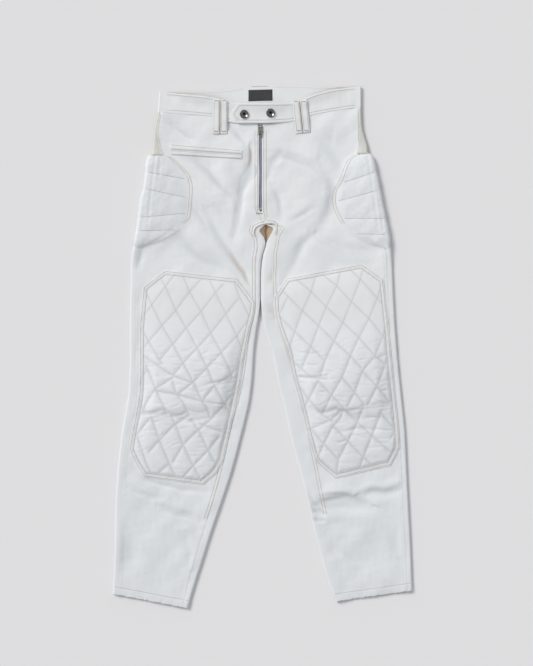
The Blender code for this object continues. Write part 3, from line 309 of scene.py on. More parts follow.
# Quilting of the knees, as (across, down) points: the two slanting directions and the short darts.
QUILTING = {
    "right": (
        ((-204, 385), (-193, 404), (-173, 450), (-152, 485), (-130, 525), (-110, 564), (-98, 594),
         (-95, 600), (-75, 637), (-63, 661), (-62, 677)),
        ((-159, 380), (-146, 413), (-122, 453), (-103, 496), (-82, 534), (-63, 573), (-61, 583)),
        ((-106, 388), (-94, 415), (-73, 457), (-51, 501), (-35, 543)),
        ((-57, 394), (-47, 421), (-27, 461)),
        ((-237, 404), (-221, 439), (-200, 482), (-180, 514), (-158, 555), (-145, 578), (-134, 600),
         (-120, 631), (-111, 643), (-103, 667)),
        ((-242, 485), (-227, 512), (-208, 543), (-200, 556)),
        ((-178, 594), (-173, 611), (-169, 620), (-157, 635), (-148, 657)),
        ((-232, 560), (-223, 581), (-213, 606), (-201, 632), (-193, 648)),
        ((-181, 661), (-173, 678), (-158, 718), (-138, 760), (-122, 790)),
        ((-248, 624), (-236, 653)),
        ((-221, 664), (-205, 709), (-189, 747), (-173, 783)),
        ((-258, 681), (-244, 718), (-232, 753), (-223, 772)),
        ((-141, 669), (-127, 689), (-108, 729), (-84, 772)),
        ((-175, 377), (-193, 402), (-213, 428), (-234, 457), (-240, 469)),
        ((-121, 386), (-146, 413), (-173, 450), (-199, 479), (-227, 512), (-244, 533)),
        ((-79, 398), (-94, 415), (-122, 452), (-152, 485), (-178, 517), (-205, 549)),
        ((-47, 425), (-73, 457), (-103, 495), (-130, 525), (-158, 555), (-177, 579)),
        ((-178, 584), (-213, 606), (-232, 635), (-237, 648)),
        ((-25, 463), (-51, 501), (-82, 534), (-110, 564), (-139, 594), (-169, 618)),
        ((-35, 546), (-62, 578), (-95, 600), (-120, 631)),
        ((-47, 600), (-75, 637), (-103, 667), (-127, 688), (-158, 718), (-178, 753)),
        ((-146, 659), (-175, 678), (-205, 709), (-226, 732)),
        ((-86, 701), (-108, 729), (-138, 760), (-157, 782)),
        ((-226, 667), (-252, 699)),
        ((-231, 567), (-247, 600)),
        ((-186, 756), (-208, 775)),
        ((-244, 536), (-178, 580), (-140, 594)),
        ((-252, 657), (-189, 656)),
        ((-39, 589), (-94, 598)),
        ((-65, 697), (-122, 677)),
        ((-212, 610), (-169, 618), (-120, 631), (-76, 637)),
    ),
    "left": (
        ((70, 390), (97, 413), (127, 443), (160, 474), (192, 504), (224, 541), (245, 558)),
        ((41, 412), (79, 451), (113, 482), (143, 512), (175, 541), (197, 565)),
        ((118, 378), (148, 401), (177, 433), (212, 466), (240, 501), (255, 519)),
        ((173, 367), (197, 390), (228, 425), (245, 444), (250, 466)),
        ((32, 461), (64, 492), (97, 523), (124, 551)),
        ((46, 536), (70, 560), (97, 584)),
        ((64, 587), (91, 627), (119, 657), (140, 672)),
        ((111, 590), (137, 619), (161, 645), (189, 673), (218, 700), (260, 737)),
        ((158, 584), (183, 613), (202, 637)),
        ((199, 571), (228, 602), (253, 632)),
        ((99, 689), (122, 716), (151, 747)),
        ((142, 681), (170, 711), (201, 743), (226, 766)),
        ((237, 657), (266, 689)),
        ((156, 370), (148, 401), (127, 443), (113, 477), (97, 520), (78, 565)),
        ((105, 386), (97, 413), (79, 451), (64, 492), (48, 539)),
        ((201, 367), (193, 393), (177, 433), (160, 474), (142, 512), (124, 551), (115, 581)),
        ((239, 393), (229, 425), (212, 466), (192, 504), (175, 541), (158, 584), (137, 619), (118, 657)),
        ((250, 469), (240, 501), (224, 541), (199, 571), (183, 613), (169, 641)),
        ((51, 421), (32, 461)),
        ((111, 590), (91, 627), (76, 660)),
        ((256, 533), (245, 557), (228, 602), (209, 638)),
        ((161, 645), (156, 664), (140, 681), (122, 716), (105, 756)),
        ((202, 637), (189, 673), (170, 711), (151, 747), (148, 769)),
        ((237, 651), (218, 700), (201, 743), (193, 766)),
        ((269, 680), (256, 705)),
        ((56, 581), (129, 586)),
        ((83, 691), (137, 668), (161, 645)),
        ((275, 637), (169, 648)),
        ((252, 535), (224, 546)),
    ),
}


def smoothstep(value):
    value = np.clip(value, 0, 1)
    return value * value * (3 - 2 * value)


def mix(a, b, t):
    return a + (b - a) * t


def bell(away, width):
    """One at zero, and hardly anything at twice the width."""
    return np.exp(-((away / width) ** 2))


def placed(across, down, height):
    """Points in mm, from how far across and down they are and how high they stand."""
    return np.stack(np.broadcast_arrays(across, TOP_Y - down, height), axis=-1)


def curve(table, where):
    """The value of a (place, value) table at each place, on a smooth curve through its rows."""
    places, values = (np.array(column, float) for column in zip(*table))
    rise = np.diff(values) / np.diff(places)
    before, after = rise[:-1], rise[1:]
    same = before * after > 0
    inner = np.where(same, 2 * before * after / np.where(same, before + after, 1), 0)
    tangent = np.concatenate(([rise[0]], inner, [rise[-1]]))
    where = np.asarray(where, float)
    index = np.clip(np.searchsorted(places, where, side="right") - 1, 0, len(places) - 2)
    span = places[index + 1] - places[index]
    t = np.clip((where - places[index]) / span, 0, 1)
    start = (1 + 2 * t) * (1 - t) ** 2 * values[index] + t * (1 - t) ** 2 * span * tangent[index]
    end = t * t * (3 - 2 * t) * values[index + 1] + t * t * (t - 1) * span * tangent[index + 1]
    return start + end


def nearest(across, down, line):
    """Distance from each place to a broken line, with its side, and how far along the line it is."""
    line = np.array(line, float)
    lengths = np.hypot(*np.diff(line, axis=0).T)
    total, passed = lengths.sum(), 0.0
    gap = np.full(np.shape(across), 1e9)
    side, share = np.zeros_like(gap), np.zeros_like(gap)
    for (x0, y0), (x1, y1), length in zip(line, line[1:], lengths):
        along_x, along_y = (x1 - x0) / length, (y1 - y0) / length
        run = np.clip((across - x0) * along_x + (down - y0) * along_y, 0, length)
        away_x, away_y = across - x0 - run * along_x, down - y0 - run * along_y
        distance = np.hypot(away_x, away_y)
        closer = distance < gap
        gap = np.where(closer, distance, gap)
        side = np.where(closer, np.sign(along_x * away_y - along_y * away_x), side)
        share = np.where(closer, (passed + run) / total, share)
        passed += length
    return gap, side, share


def waves(across, down, length, count, seed, stretch=1.0):
    """Gentle unevenness of cloth: crossing waves about `length` mm long, between about -1 and 1."""
    random = np.random.RandomState(seed)
    total = np.zeros(np.broadcast(across, down).shape)
    for _ in range(count):
        turn, phase = random.uniform(0, math.pi), random.uniform(0, 2 * math.pi)
        pitch = 2 * math.pi / (length * random.uniform(0.75, 1.4))
        total = total + np.sin(pitch * (across * math.cos(turn) / stretch + down * math.sin(turn)) + phase)
    return total / math.sqrt(count)


def fold_shape(crease, across, down):
    """How far one crease lifts or sinks the cloth, less towards its two ends."""
    gap, side, share = nearest(across, down, crease.line)
    reach = gap / crease.width
    shape = (crease.height + crease.step * side * reach * 1.6) * np.exp(-(reach**2))
    return np.where(reach < 3, shape * (0.35 + 0.65 * np.sin(np.pi * share)), 0)


def relief(across, down, at_seam=False):
    """How far creases and unevenness lift the front cloth, or puckers lift its inner-leg seam."""
    height = np.zeros(np.broadcast(across, down).shape)
    for crease in CREASES:
        if at_seam == ("inseam" in crease.name):
            height += 1.5 * fold_shape(crease, across, down)
    if at_seam:
        return height
    for rise, *kind in ((1.1, 95, 7, 3), (0.32, 38, 8, 5), (0.12, 15, 9, 8), (0.03, 6, 9, 11)):
        height += rise * waves(across, down, *kind)
    lowest, give = -1.8, 1.4
    return np.where(height < lowest, lowest - give * np.tanh((lowest - height) / give), height)


def waist_line(side, across, on_front):
    """How far down a straight waist seam would lie, from the side fold to the centre."""
    first = ROWS[side][0]
    outer = curve(OUTER_EDGE[side], first.side)
    share = (across - outer) / (CENTRE_SEAM[0][1] - outer)
    return mix(first.side, first.front if on_front else first.back, share)


class Half:
    """Rows across one trouser half: its folds, its seams and the height of its front cloth."""

    def __init__(self, side, downs, trunk):
        rows = ROWS[side]
        self.side, self.trunk = side, trunk
        self.down = np.asarray(downs, float)[:, None]
        at_fold = [row.side for row in rows]
        self.front_down = np.interp(self.down, at_fold, [row.front for row in rows])
        self.back_down = np.interp(self.down, at_fold, [row.back for row in rows])
        inner = CENTRE_SEAM if trunk else INNER_EDGE[side]
        self.outer = curve(OUTER_EDGE[side], self.down)
        self.front_inner = curve(inner, self.front_down)
        self.back_inner = curve(inner, self.back_down)
        self.front_width = np.hypot(self.front_inner - self.outer, self.front_down - self.down)
        self.back_width = np.hypot(self.back_inner - self.outer, self.back_down - self.down)
        self.lift = LOOP_LIFT * (1 - smoothstep((self.down - 84) / 60))
        self.side_radius = curve(SIDE_FOLD, self.down)
        self.leg_radius = 0 * self.down if trunk else curve(LEG_FOLD, self.front_down)
        self.bow = 1 - smoothstep((self.down - rows[0].side) / 95) if trunk else 0 * self.down
        self.set_seams()

    def set_seams(self):
        self.curve = curve(OUTSEAM[self.side], self.down)
        over = self.over(OUTER, self.curve)
        turn = PAD_TURN[self.side]
        self.front_from = over + HALF_SEAM
        turning = np.maximum(-over, np.minimum(curve(turn, self.down), over - 1.4))
        under = np.where(self.down >= turn[0][0], turning, -over)
        below_pad = self.down > DOWN_AT[self.side]["pad tip"] + 0.1
        self.back_from = np.where(below_pad, over, under) - HALF_SEAM
        if self.trunk:
            opening = np.where(self.front_down < ZIP_BOTTOM + 2, ZIP_OPENING, HALF_SEAM)
            slider = self.front_down < ZIP_TOP + SLIDER_LENGTH + 6
            self.front_to = np.where(slider, SLIDER_OPENING, opening)
            self.back_to = 0 * self.down - HALF_SEAM
        else:
            inseam = self.over(INNER, curve(INSEAM[self.side], self.front_down))
            self.front_to = inseam + HALF_SEAM
            self.back_to = inseam - HALF_SEAM

    def radius(self, end):
        return self.side_radius if end == OUTER else self.leg_radius

    def over(self, end, inset):
        """Length round the fold to a place on top that lies `inset` in from the fold's edge."""
        return self.radius(end) * (math.pi / 2 - 1) + inset

    def inset(self, end, length):
        return length - self.radius(end) * (math.pi / 2 - 1)

    def plan(self, from_side, on_front=True):
        """Points from above at distances in from the side fold, along each row."""
        width = np.where(on_front, self.front_width, self.back_width)
        end_across = np.where(on_front, self.front_inner, self.back_inner)
        end_down = np.where(on_front, self.front_down, self.back_down)
        across = mix(self.outer, end_across, from_side / width)
        down = mix(self.down, end_down, from_side / width)
        bow = curve(BAND_FRONT_SEAM, across) - waist_line(self.side, across, True)
        return across, down + np.where(on_front, self.bow * bow, 0)

    def loft(self, from_side, calm=1.0):
        """Height of the front cloth's outer face, with its unevenness in full or in part."""
        side_top = self.lift + 2 * self.side_radius
        base = mix(FRONT_LOFT, KNEE_LOFT, smoothstep((self.down - 420) / 160))
        base = mix(base, HEM_LOFT, smoothstep((self.down - 700) / 160))
        reach = np.maximum(FOLD_REACH, self.curve + 16)
        height = base + (side_top - base) * (1 - smoothstep((from_side - self.side_radius) / reach))
        edge = from_side - self.side_radius - np.maximum(self.curve - 12, 0) * 0.9
        across, down = self.plan(from_side)
        edge = np.minimum(edge, np.hypot(across - FORK[0], down - FORK[1]))
        if not self.trunk:
            leg_top = self.lift + 2 * self.leg_radius
            from_leg = self.front_width - self.leg_radius - from_side
            height = height + (leg_top - base) * (1 - smoothstep(from_leg / FOLD_REACH))
            edge = np.minimum(edge, from_leg)
        height = height + calm * relief(across, down) * smoothstep(edge / CREASE_FADE)
        return height + relief(across, down, True) * smoothstep(edge / 6)

    def at(self, end, length, depth=0.0):
        """Points of the wall, `length` round from the fold's edge (above zero on the front)."""
        radius = self.radius(end)
        length, depth = np.broadcast_arrays(length + 0 * self.down, depth)
        quarter = radius * math.pi / 2
        angle = np.clip(length / np.maximum(radius, 0.01), -math.pi / 2, math.pi / 2)
        bend = radius - (radius - depth) * np.cos(angle)
        from_fold = np.where(np.abs(length) > quarter, radius + np.abs(length) - quarter, bend)
        on_front = length >= 0
        width = np.where(on_front, self.front_width, self.back_width)
        from_side = from_fold if end == OUTER else width - from_fold
        height = self.lift + radius + (radius - depth) * np.sin(angle)
        height = np.where(length <= -quarter, self.lift + depth, height)
        height = np.where(length >= quarter, self.loft(from_side) - depth, height)
        return placed(*self.plan(from_side, on_front), height)


def rows_from(side, low, high, step, trunk):
    return Half(side, np.linspace(low, high, int((high - low) / step) + 2), trunk)


def rows_between(side, first, last, step):
    """The rows from one named row to another, above the fork and below it."""
    low, high, above, fork = (DOWN_AT[side][name] for name in (first, last, "fork above", "fork"))
    trunk = rows_from(side, low, min(high, above), step, True)
    return [trunk] if high <= above else [trunk, rows_from(side, fork, high, step, False)]


def halves(side):
    """All the rows of one trouser half, with as many rows on the right as on the left."""
    at = DOWN_AT[side]
    upper = np.linspace(at["waist"], at["fork above"], TRUNK_ROWS)
    lower = np.linspace(at["fork"], at["hem"], LEG_ROWS)
    return Half(side, upper, True), Half(side, lower, False)


def over_fork(upper, lower=None):
    """Rows of the trunk and of a leg, with the rows between the two at the fork filled in."""
    if lower is None:
        return upper
    between = [mix(upper[-1:], lower[:1], t) for t in (1 / 3, 2 / 3)]
    return np.concatenate([upper, *between, lower])


def ring(grid):
    """The border of a grid, in order."""
    return np.concatenate([grid[0], grid[1:, -1], grid[-1, -2::-1], grid[-2:0:-1, 0]])


def wall(name, outside, inside, finish, deep=None, hollow=None):
    """A closed wall between two grids of points in mm, with a UV map in metres along the cloth."""
    rows, columns = outside.shape[:2]
    count = rows * columns
    points = np.concatenate([outside.reshape(-1, 3), inside.reshape(-1, 3)]) * MM
    index = np.arange(count).reshape(rows, columns)
    a, b, c, d = index[:-1, :-1], index[:-1, 1:], index[1:, 1:], index[1:, :-1]
    top = np.stack([a, b, c, d], axis=-1).reshape(-1, 4)
    border = ring(index)
    following = np.roll(border, -1)
    rim = np.stack([border, border + count, following + count, following], axis=-1)
    faces = np.concatenate([top, top[:, ::-1] + count, rim])
    u, v = np.zeros((2, rows, columns))
    u[:, 1:] = np.cumsum(np.linalg.norm(np.diff(outside, axis=1), axis=-1), axis=1)
    v[1:] = np.cumsum(np.linalg.norm(np.diff(outside, axis=0), axis=-1), axis=0)
    u -= u[:, columns // 2][:, None]
    v[:] = v[:, columns // 2][:, None]
    flat = np.stack([u, v], axis=-1).reshape(-1, 2) * MM
    made = piece(name, points, faces, finish, np.concatenate([flat, flat]))
    crisp_edges(made.data, border, count)
    # The shares of warm shade and grey shade painted into the cloth's colour are stored on its points.
    for tone, values in (("deep", deep), ("hollow", hollow)):
        if values is not None:
            layer = made.data.attributes.new(tone, "FLOAT", "POINT")
            layer.data.foreach_set("value", np.concatenate([values.ravel(), values.ravel()]))
    MEASURES[name] = measure_sheet(outside, flat)
    return made


def crisp_edges(data, border, count):
    """Cut edges stay crisp: the faces on either side of a wall's border aren't shaded as one."""
    on_border = np.zeros(2 * count, bool)
    on_border[border] = on_border[border + count] = True
    ends = np.empty(2 * len(data.edges), np.int32)
    data.edges.foreach_get("vertices", ends)
    ends = ends.reshape(-1, 2)
    level = (ends < count).sum(axis=1) != 1
    layer = data.attributes.new("sharp_edge", "BOOLEAN", "EDGE")
    layer.data.foreach_set("value", on_border[ends].all(axis=1) & level)


def measure_sheet(outside, flat):
    """A laid sheet's cut, in metres: width and length, and the area of its outer face."""
    a, b, c, d = outside[:-1, :-1], outside[:-1, 1:], outside[1:, :-1], outside[1:, 1:]
    doubled = [np.linalg.norm(np.cross(b - corner, c - corner), axis=-1).sum() for corner in (a, d)]
    size = flat.max(axis=0) - flat.min(axis=0)
    return (round(float(size[0]), 3), round(float(size[1]), 3)), round(float(sum(doubled)) / 2 * MM * MM, 5)


def stands_for(made, node, slot, *rests_on):
    """A built piece takes its node's place, which is hidden; for a sheet that rests on other pieces, its
    flat size and area are looked up.
    """
    if node:
        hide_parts(node)
    if rests_on:
        flat, area = MEASURES[made.name]
        flat = tuple(max(size, 0.012) for size in flat)
        area = min(area, flat[0] * flat[1])
    return made


def volume_sign(points, faces):
    a, b, c = (points[faces[:, i]] for i in (0, 1, 2))
    d = points[faces[:, -1]]
    total = np.einsum("ij,ij->i", a, np.cross(b, c)) + np.einsum("ij,ij->i", a, np.cross(c, d))
    return np.sign(total.sum())


def piece(name, points, faces, finish, flat=None):
    """An object from points in metres and faces with equal counts of corners, facing outwards."""
    if volume_sign(points, faces) < 0:
        faces = faces[:, ::-1]
    data = bpy.data.meshes.new(name)
    data.vertices.add(len(points))
    data.vertices.foreach_set("co", points.ravel())
    data.loops.add(faces.size)
    data.loops.foreach_set("vertex_index", faces.ravel().astype(np.int32))
    data.polygons.add(len(faces))
    data.polygons.foreach_set("loop_start", np.arange(0, faces.size, faces.shape[1], dtype=np.int32))
    data.polygons.foreach_set("use_smooth", np.ones(len(faces), bool))
    if flat is not None:
        layer = data.uv_layers.new(name="cloth")
        layer.data.foreach_set("uv", flat[faces.ravel()].ravel())
    data.update(calc_edges=True)
    data.materials.append(finish)
    thing = bpy.data.objects.new(name, data)
    bpy.context.scene.collection.objects.link(thing)
    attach(thing, "garment")
    return thing


class Wire:
    """A number or colour that changes over a surface. Arithmetic on it adds Math nodes."""

    def __init__(self, finish, socket):
        self.finish, self.socket = finish, socket

    def maths(self, operation, *values):
        return self.finish.node("ShaderNodeMath", {"operation": operation}, dict(enumerate(values)))

    def __add__(self, other):
        return self.maths("ADD", self, other)

    def __sub__(self, other):
        return self.maths("SUBTRACT", self, other)

    def __rsub__(self, other):
        return self.maths("SUBTRACT", other, self)

    def __mul__(self, other):
        return self.maths("MULTIPLY", self, other)

    __radd__ = __add__
    __rmul__ = __mul__

    def sine(self):
        return self.maths("SINE", self)


class Finish:
    """A material, and the one way in which its nodes are added."""

    def __init__(self, name, colour, roughness, metallic=0.0, **more):
        self.material = bpy.data.materials.new(name)
        self.material.use_nodes = True
        self.tree = self.material.node_tree
        self.shader = self.tree.nodes["Principled BSDF"]
        self.shade("Base Color", (*colour, 1.0))
        self.shade("Roughness", roughness)
        self.shade("Metallic", metallic)
        for socket, value in more.items():
            self.shade(socket.replace("_", " "), value)

    def join(self, socket, value):
        if isinstance(value, Wire):
            self.tree.links.new(value.socket, socket)
        else:
            socket.default_value = value

    def shade(self, socket, value):
        self.join(self.shader.inputs[socket], value)

    def node(self, kind, settings=(), inputs=(), output=0):
        made = self.tree.nodes.new(kind)
        for key, value in dict(settings).items():
            setattr(made, key, value)
        for socket, value in dict(inputs).items():
            self.join(made.inputs[socket], value)
        return Wire(self, made.outputs[output])

    def axis(self, place, index):
        return self.node("ShaderNodeSeparateXYZ", inputs={0: place}, output=index)

    def cloth_place(self):
        """Distances across and down the cloth, in metres, from the piece's own UV map."""
        place = self.node("ShaderNodeUVMap", {"uv_map": "cloth"})
        return self.axis(place, 0), self.axis(place, 1)

    def object_place(self):
        return self.node("ShaderNodeTexCoord", output="Object")

    def painted(self, name):
        """A share stored on the cloth's points."""
        return self.node("ShaderNodeAttribute", {"attribute_name": name}, output="Fac")

    def noise(self, scale, detail=3.0, roughness=0.5):
        inputs = {"Vector": self.object_place(), "Scale": scale, "Detail": detail, "Roughness": roughness}
        return self.node("ShaderNodeTexNoise", inputs=inputs)

    def blend(self, amount, first, second):
        first, second = (c if isinstance(c, Wire) else (*c, 1.0) for c in (first, second))
        inputs = {"Factor": amount, 6: first, 7: second}
        return self.node("ShaderNodeMix", {"data_type": "RGBA"}, inputs, output=2)

    def tint(self, amount, first, second):
        self.shade("Base Color", self.blend(amount, first, second))

    def raise_by(self, height, distance):
        self.shade("Normal", self.node("ShaderNodeBump", inputs={"Height": height, "Distance": distance}))


TURN = 2 * math.pi
# Painted shade: the warm tone painted into the cloth where it folds right over itself, standing for the
# warm light that comes back there, and the grey tone painted down in a crease.
WARM_SHADE_TONE, GREY_SHADE_TONE = (0.42, 0.30, 0.195), (0.55, 0.585, 0.62)


def canvas_finish(name, light, dark, pitch=0.0007, bump=0.00007):
    """Cotton canvas: a fine slanting twill, thicker and thinner yarns, and faint uneven tone."""
    made = Finish(name, light, 0.85, Sheen_Weight=0.08, Sheen_Roughness=0.6)
    across, down = made.cloth_place()
    turn = TURN / pitch
    twill = ((across + down) * turn).sine() * 0.5 + ((across - down) * (turn * 0.5)).sine() * 0.2
    slub, tone = made.noise(900.0, 2.0), made.noise(16.0, 4.0, 0.6)
    up = made.axis(made.object_place(), 1)
    # Besides its uneven tone, the cloth is made darker towards the bottom of the garment.
    cloth = made.blend(tone * 0.9 + 0.05 - up * 0.8, light, dark)
    # Painted shade: grey where a point's share of grey shade is high, and warm brown where the cloth folds
    # right over itself.
    cloth = made.blend(made.painted("hollow") * 0.62, cloth, GREY_SHADE_TONE)
    made.tint(made.painted("deep"), cloth, WARM_SHADE_TONE)
    made.shade("Roughness", 0.8 + tone * 0.12)
    made.raise_by(twill + slub * 0.8, bump)
    return made.material


def rib_finish():
    made = Finish("cream rib", (0.72, 0.715, 0.67), 0.9, Sheen_Weight=0.1, Sheen_Roughness=0.6)
    across, down = made.cloth_place()
    ribs, stitch = (across * (TURN / 0.0026)).sine(), (down * (TURN / 0.0014)).sine()
    made.tint(made.noise(20.0, 3.0) * 1.4 - 0.2, (0.735, 0.73, 0.69), (0.69, 0.68, 0.63))
    made.raise_by(ribs + stitch * 0.25, 0.0003)
    return made.material


def thread_finish(name, light, dark):
    made = Finish(name, light, 0.7, Sheen_Weight=0.1)
    made.tint(made.noise(90.0, 2.0), light, dark)
    made.raise_by(made.noise(2200.0, 1.0), 0.00012)
    return made.material


def label_finish():
    made = Finish("black label cloth", (0.02, 0.02, 0.024), 0.55, Sheen_Weight=0.15)
    across, down = made.cloth_place()
    weave = (across * (TURN / 0.0006)).sine() * (down * (TURN / 0.0006)).sine()
    made.tint(made.noise(120.0, 3.0), (0.015, 0.015, 0.018), (0.035, 0.035, 0.04))
    made.raise_by(weave, 0.0001)
    return made.material


def tape_finish():
    made = Finish("zip tape", (0.74, 0.76, 0.77), 0.9)
    place = made.object_place()
    across, down = made.axis(place, 0), made.axis(place, 1)
    zigzag = ((across * 900.0).sine() * 1.4 + down * (TURN / 0.0012)).sine()
    made.tint(made.noise(60.0, 2.0), (0.76, 0.78, 0.79), (0.66, 0.68, 0.70))
    made.raise_by(zigzag, 0.00015)
    return made.material


def metal_finish(name, bright, dull, roughness, scale, dents=0.00003, contrast=1.0):
    made = Finish(name, bright, roughness, 1.0)
    tone = made.noise(scale, 4.0, 0.65)
    made.tint((tone - 0.5) * contrast + 0.5, bright, dull)
    made.shade("Roughness", roughness * 0.7 + tone * roughness * 0.8)
    made.raise_by(made.noise(scale * 6, 2.0), dents)
    return made.material


CANVAS = canvas_finish("white canvas", (0.80, 0.815, 0.83), (0.725, 0.745, 0.765))
QUILTED = canvas_finish("white quilting", (0.79, 0.80, 0.815), (0.745, 0.76, 0.78), 0.0006, 0.00004)
HIP_CLOTH = canvas_finish("white hip quilting", (0.76, 0.78, 0.80), (0.70, 0.72, 0.745), 0.0006, 0.00005)
RIB = rib_finish()
THREAD = thread_finish("beige thread", (0.47, 0.375, 0.27), (0.36, 0.27, 0.18))
QUILT_THREAD = thread_finish("beige quilting thread", (0.65, 0.59, 0.51), (0.54, 0.48, 0.40))
PALE_THREAD = thread_finish("worn pale thread", (0.66, 0.63, 0.58), (0.58, 0.54, 0.48))
BLACK = label_finish()
TAPE = tape_finish()
# The snaps' nickel is given a dark colour so that the caps look dark: a painted dark reflection.
NICKEL_WITH_PAINTED_DARK_REFLECTION = metal_finish("polished nickel", (0.22, 0.21, 0.21), (0.14, 0.13, 0.13), 0.1, 60.0)
ZINC = metal_finish("blue-grey zip metal", (0.50, 0.56, 0.66), (0.36, 0.41, 0.50), 0.6, 90.0)
# Tarnish, and strong bright and dark patches in the metal's colour that stand in for glints: painted
# glints.
TARNISH_AND_PAINTED_GLINTS = (0.95, 0.93, 0.90), (0.12, 0.10, 0.09)
OLD_NICKEL_WITH_PAINTED_GLINTS = metal_finish("tarnished nickel with painted glints", *TARNISH_AND_PAINTED_GLINTS, 0.24, 200.0, dents=0.00025, contrast=3.5)

# How far in from a seam the closest columns of points lie.
EDGE_OFFSETS = (0, 0.6, 1.3, 2.2, 3.4, 5.0, 7.0, 9.5)


def columns_between(start, end, count, short=0.0):
    """Places between two seams, closer near both, the even ones ending `short` of the second."""
    near = np.array(EDGE_OFFSETS)[None, :]
    share = np.linspace(0, 1, count)[None, 1:-1]
    inner = mix(start + near[:, -1:], end - short - near[:, -1:], share)
    return np.concatenate([start + near, inner, end - near[:, ::-1]], axis=1)


def seam_shape(edge, along_seam, seed):
    """How cloth dips into a seam, stands over its turned edge, and puckers beside it."""
    pucker = waves(along_seam, 0, 17, 6, seed) + 0.6 * waves(along_seam, 0, 8, 6, seed + 1)
    dip, ridge = -0.18 * bell(edge, 0.9), 0.12 * bell(edge - 4, 3.2)
    return dip + ridge + 0.22 * pucker * np.exp(-edge / 8) * (1 - np.exp(-edge / 1.5))


def front_grid(side):
    parts = []
    for half in halves(side):
        start = half.inset(OUTER, half.front_from)
        end = half.front_width - half.inset(INNER, half.front_to)
        short = 21.0 * smoothstep((half.front_down - 205) / 68) if half.trunk else 0 * half.down
        places = columns_between(start, end, 86, short)
        across, down = half.plan(places)
        height = half.loft(places)
        height = height + seam_shape(places - start, down, 21) + seam_shape(end - places, down, 31)
        parts.append(placed(across, down, height))
    return over_fork(*parts)


def hem_turn(grid):
    """The turned-up hem stands a little over the cloth above it, and its edge is slightly frayed."""
    up = grid[:, :, 1] - grid[-1, :, 1][None, :]
    across = grid[:, :, 0]
    fray = 0.7 * waves(across, 0, 9, 9, 15) + 0.4 * waves(across, 0, 4, 9, 16)
    grid[:, :, 2] += 0.6 * (1 - smoothstep((up - HEM_DEPTH) / 2.0)) - 0.5 * (1 - smoothstep(up / 2.0))
    grid[:, :, 2] += 0.35 * fray * (1 - smoothstep(up / 12))
    grid[:, :, 1] += np.clip(fray, -0.9, 1.4) * (1 - smoothstep(up / 4))
    return grid


def warm_shade_share(grid):
    """How much warm shade is painted at each point near the listed folds, from 0 in the open to 1 where
    only warm light gets in.
    """
    deep = np.zeros(grid.shape[:2])
    for line in WARM_SHADE_FOLDS:
        gap, _, share = nearest(grid[..., 0], TOP_Y - grid[..., 1], line)
        deep = np.maximum(deep, 0.42 * bell(gap, 4.4) * np.sin(np.pi * np.clip(share, 0.02, 0.98)) ** 0.5)
    return deep


def grey_shade_share(grid, creases):
    """How far each point lies down in a crease, where grey shade is painted into the cloth's colour."""
    hollow = np.zeros(grid.shape[:2])
    for crease in creases:
        gap, _, share = nearest(grid[..., 0], TOP_Y - grid[..., 1], crease.line)
        depth = np.clip((abs(crease.step) * 0.5 - crease.height) / 3.4, 0, 1)
        here = depth * bell(gap, 0.55 * crease.width) * np.sin(np.pi * np.clip(share, 0.05, 0.95))
        hollow = np.maximum(hollow, here)
    return hollow


def build_front(side):
    outside = hem_turn(front_grid(side))
    inside = outside - np.array([0, 0, CLOTH])
    # Painted shade: warm shade along the folds that lie over themselves, and grey shade down in the
    # creases.
    painted_shades = warm_shade_share(outside), grey_shade_share(outside, CREASES)
    made = wall(f"cloth_front_{side}", outside, inside, CANVAS, *painted_shades)
    return stands_for(made, f"front_{side}", "canvas", f"cloth_back_{side}")


def round_fold(radius, seam):
    """Places from a seam on top, over a fold and down to its underside."""
    angles = np.radians(np.linspace(90, -90, 9))[None, :]
    turn = np.minimum(angles * radius, seam - np.arange(1, 10)[None, :] * 0.35)
    return np.concatenate([mix(seam, turn[:, :1], np.linspace(0, 1, 5)[None, :-1]), turn], axis=1)


def back_places(half):
    """Places round the section for the back panel: over the side fold, under, over the inner fold."""
    side = round_fold(np.maximum(half.side_radius, LEAST_RADIUS), half.back_from)
    leg_radius = np.where(half.leg_radius > 0, half.leg_radius, LEAST_RADIUS)
    leg = round_fold(leg_radius, half.back_to)[:, ::-1]
    flat_from = half.side_radius * (1 - math.pi / 2) - side[:, -1:]
    flat_to = half.back_width - (half.leg_radius * (1 - math.pi / 2) - leg[:, :1])
    shares = np.linspace(0, 1, 8)[None, 1:-1]
    under = half.side_radius * (1 - math.pi / 2) - mix(flat_from, flat_to, shares)
    return side, under, leg


def close_slit(half, leg, wrap):
    """Below the fork the two legs touch: their folds are drawn to the line half way between them."""
    towards = (curve(INNER_EDGE["right"], half.front_down) + curve(INNER_EDGE["left"], half.front_down)) / 2
    near = 1 - smoothstep((half.front_down - 425) / 40)
    low = smoothstep(0.5 - leg / half.leg_radius)
    high = smoothstep(leg / half.leg_radius) * (leg < half.leg_radius * 1.6)
    high = high * smoothstep((half.front_down - 298) / 20)
    apart = -0.2 if half.side == "right" else 0.2
    wrap[..., 0] += (towards + apart - wrap[..., 0]) * near * high * 0.92
    wrap[..., 0] += (towards - half.front_inner) * near * low * 0.985


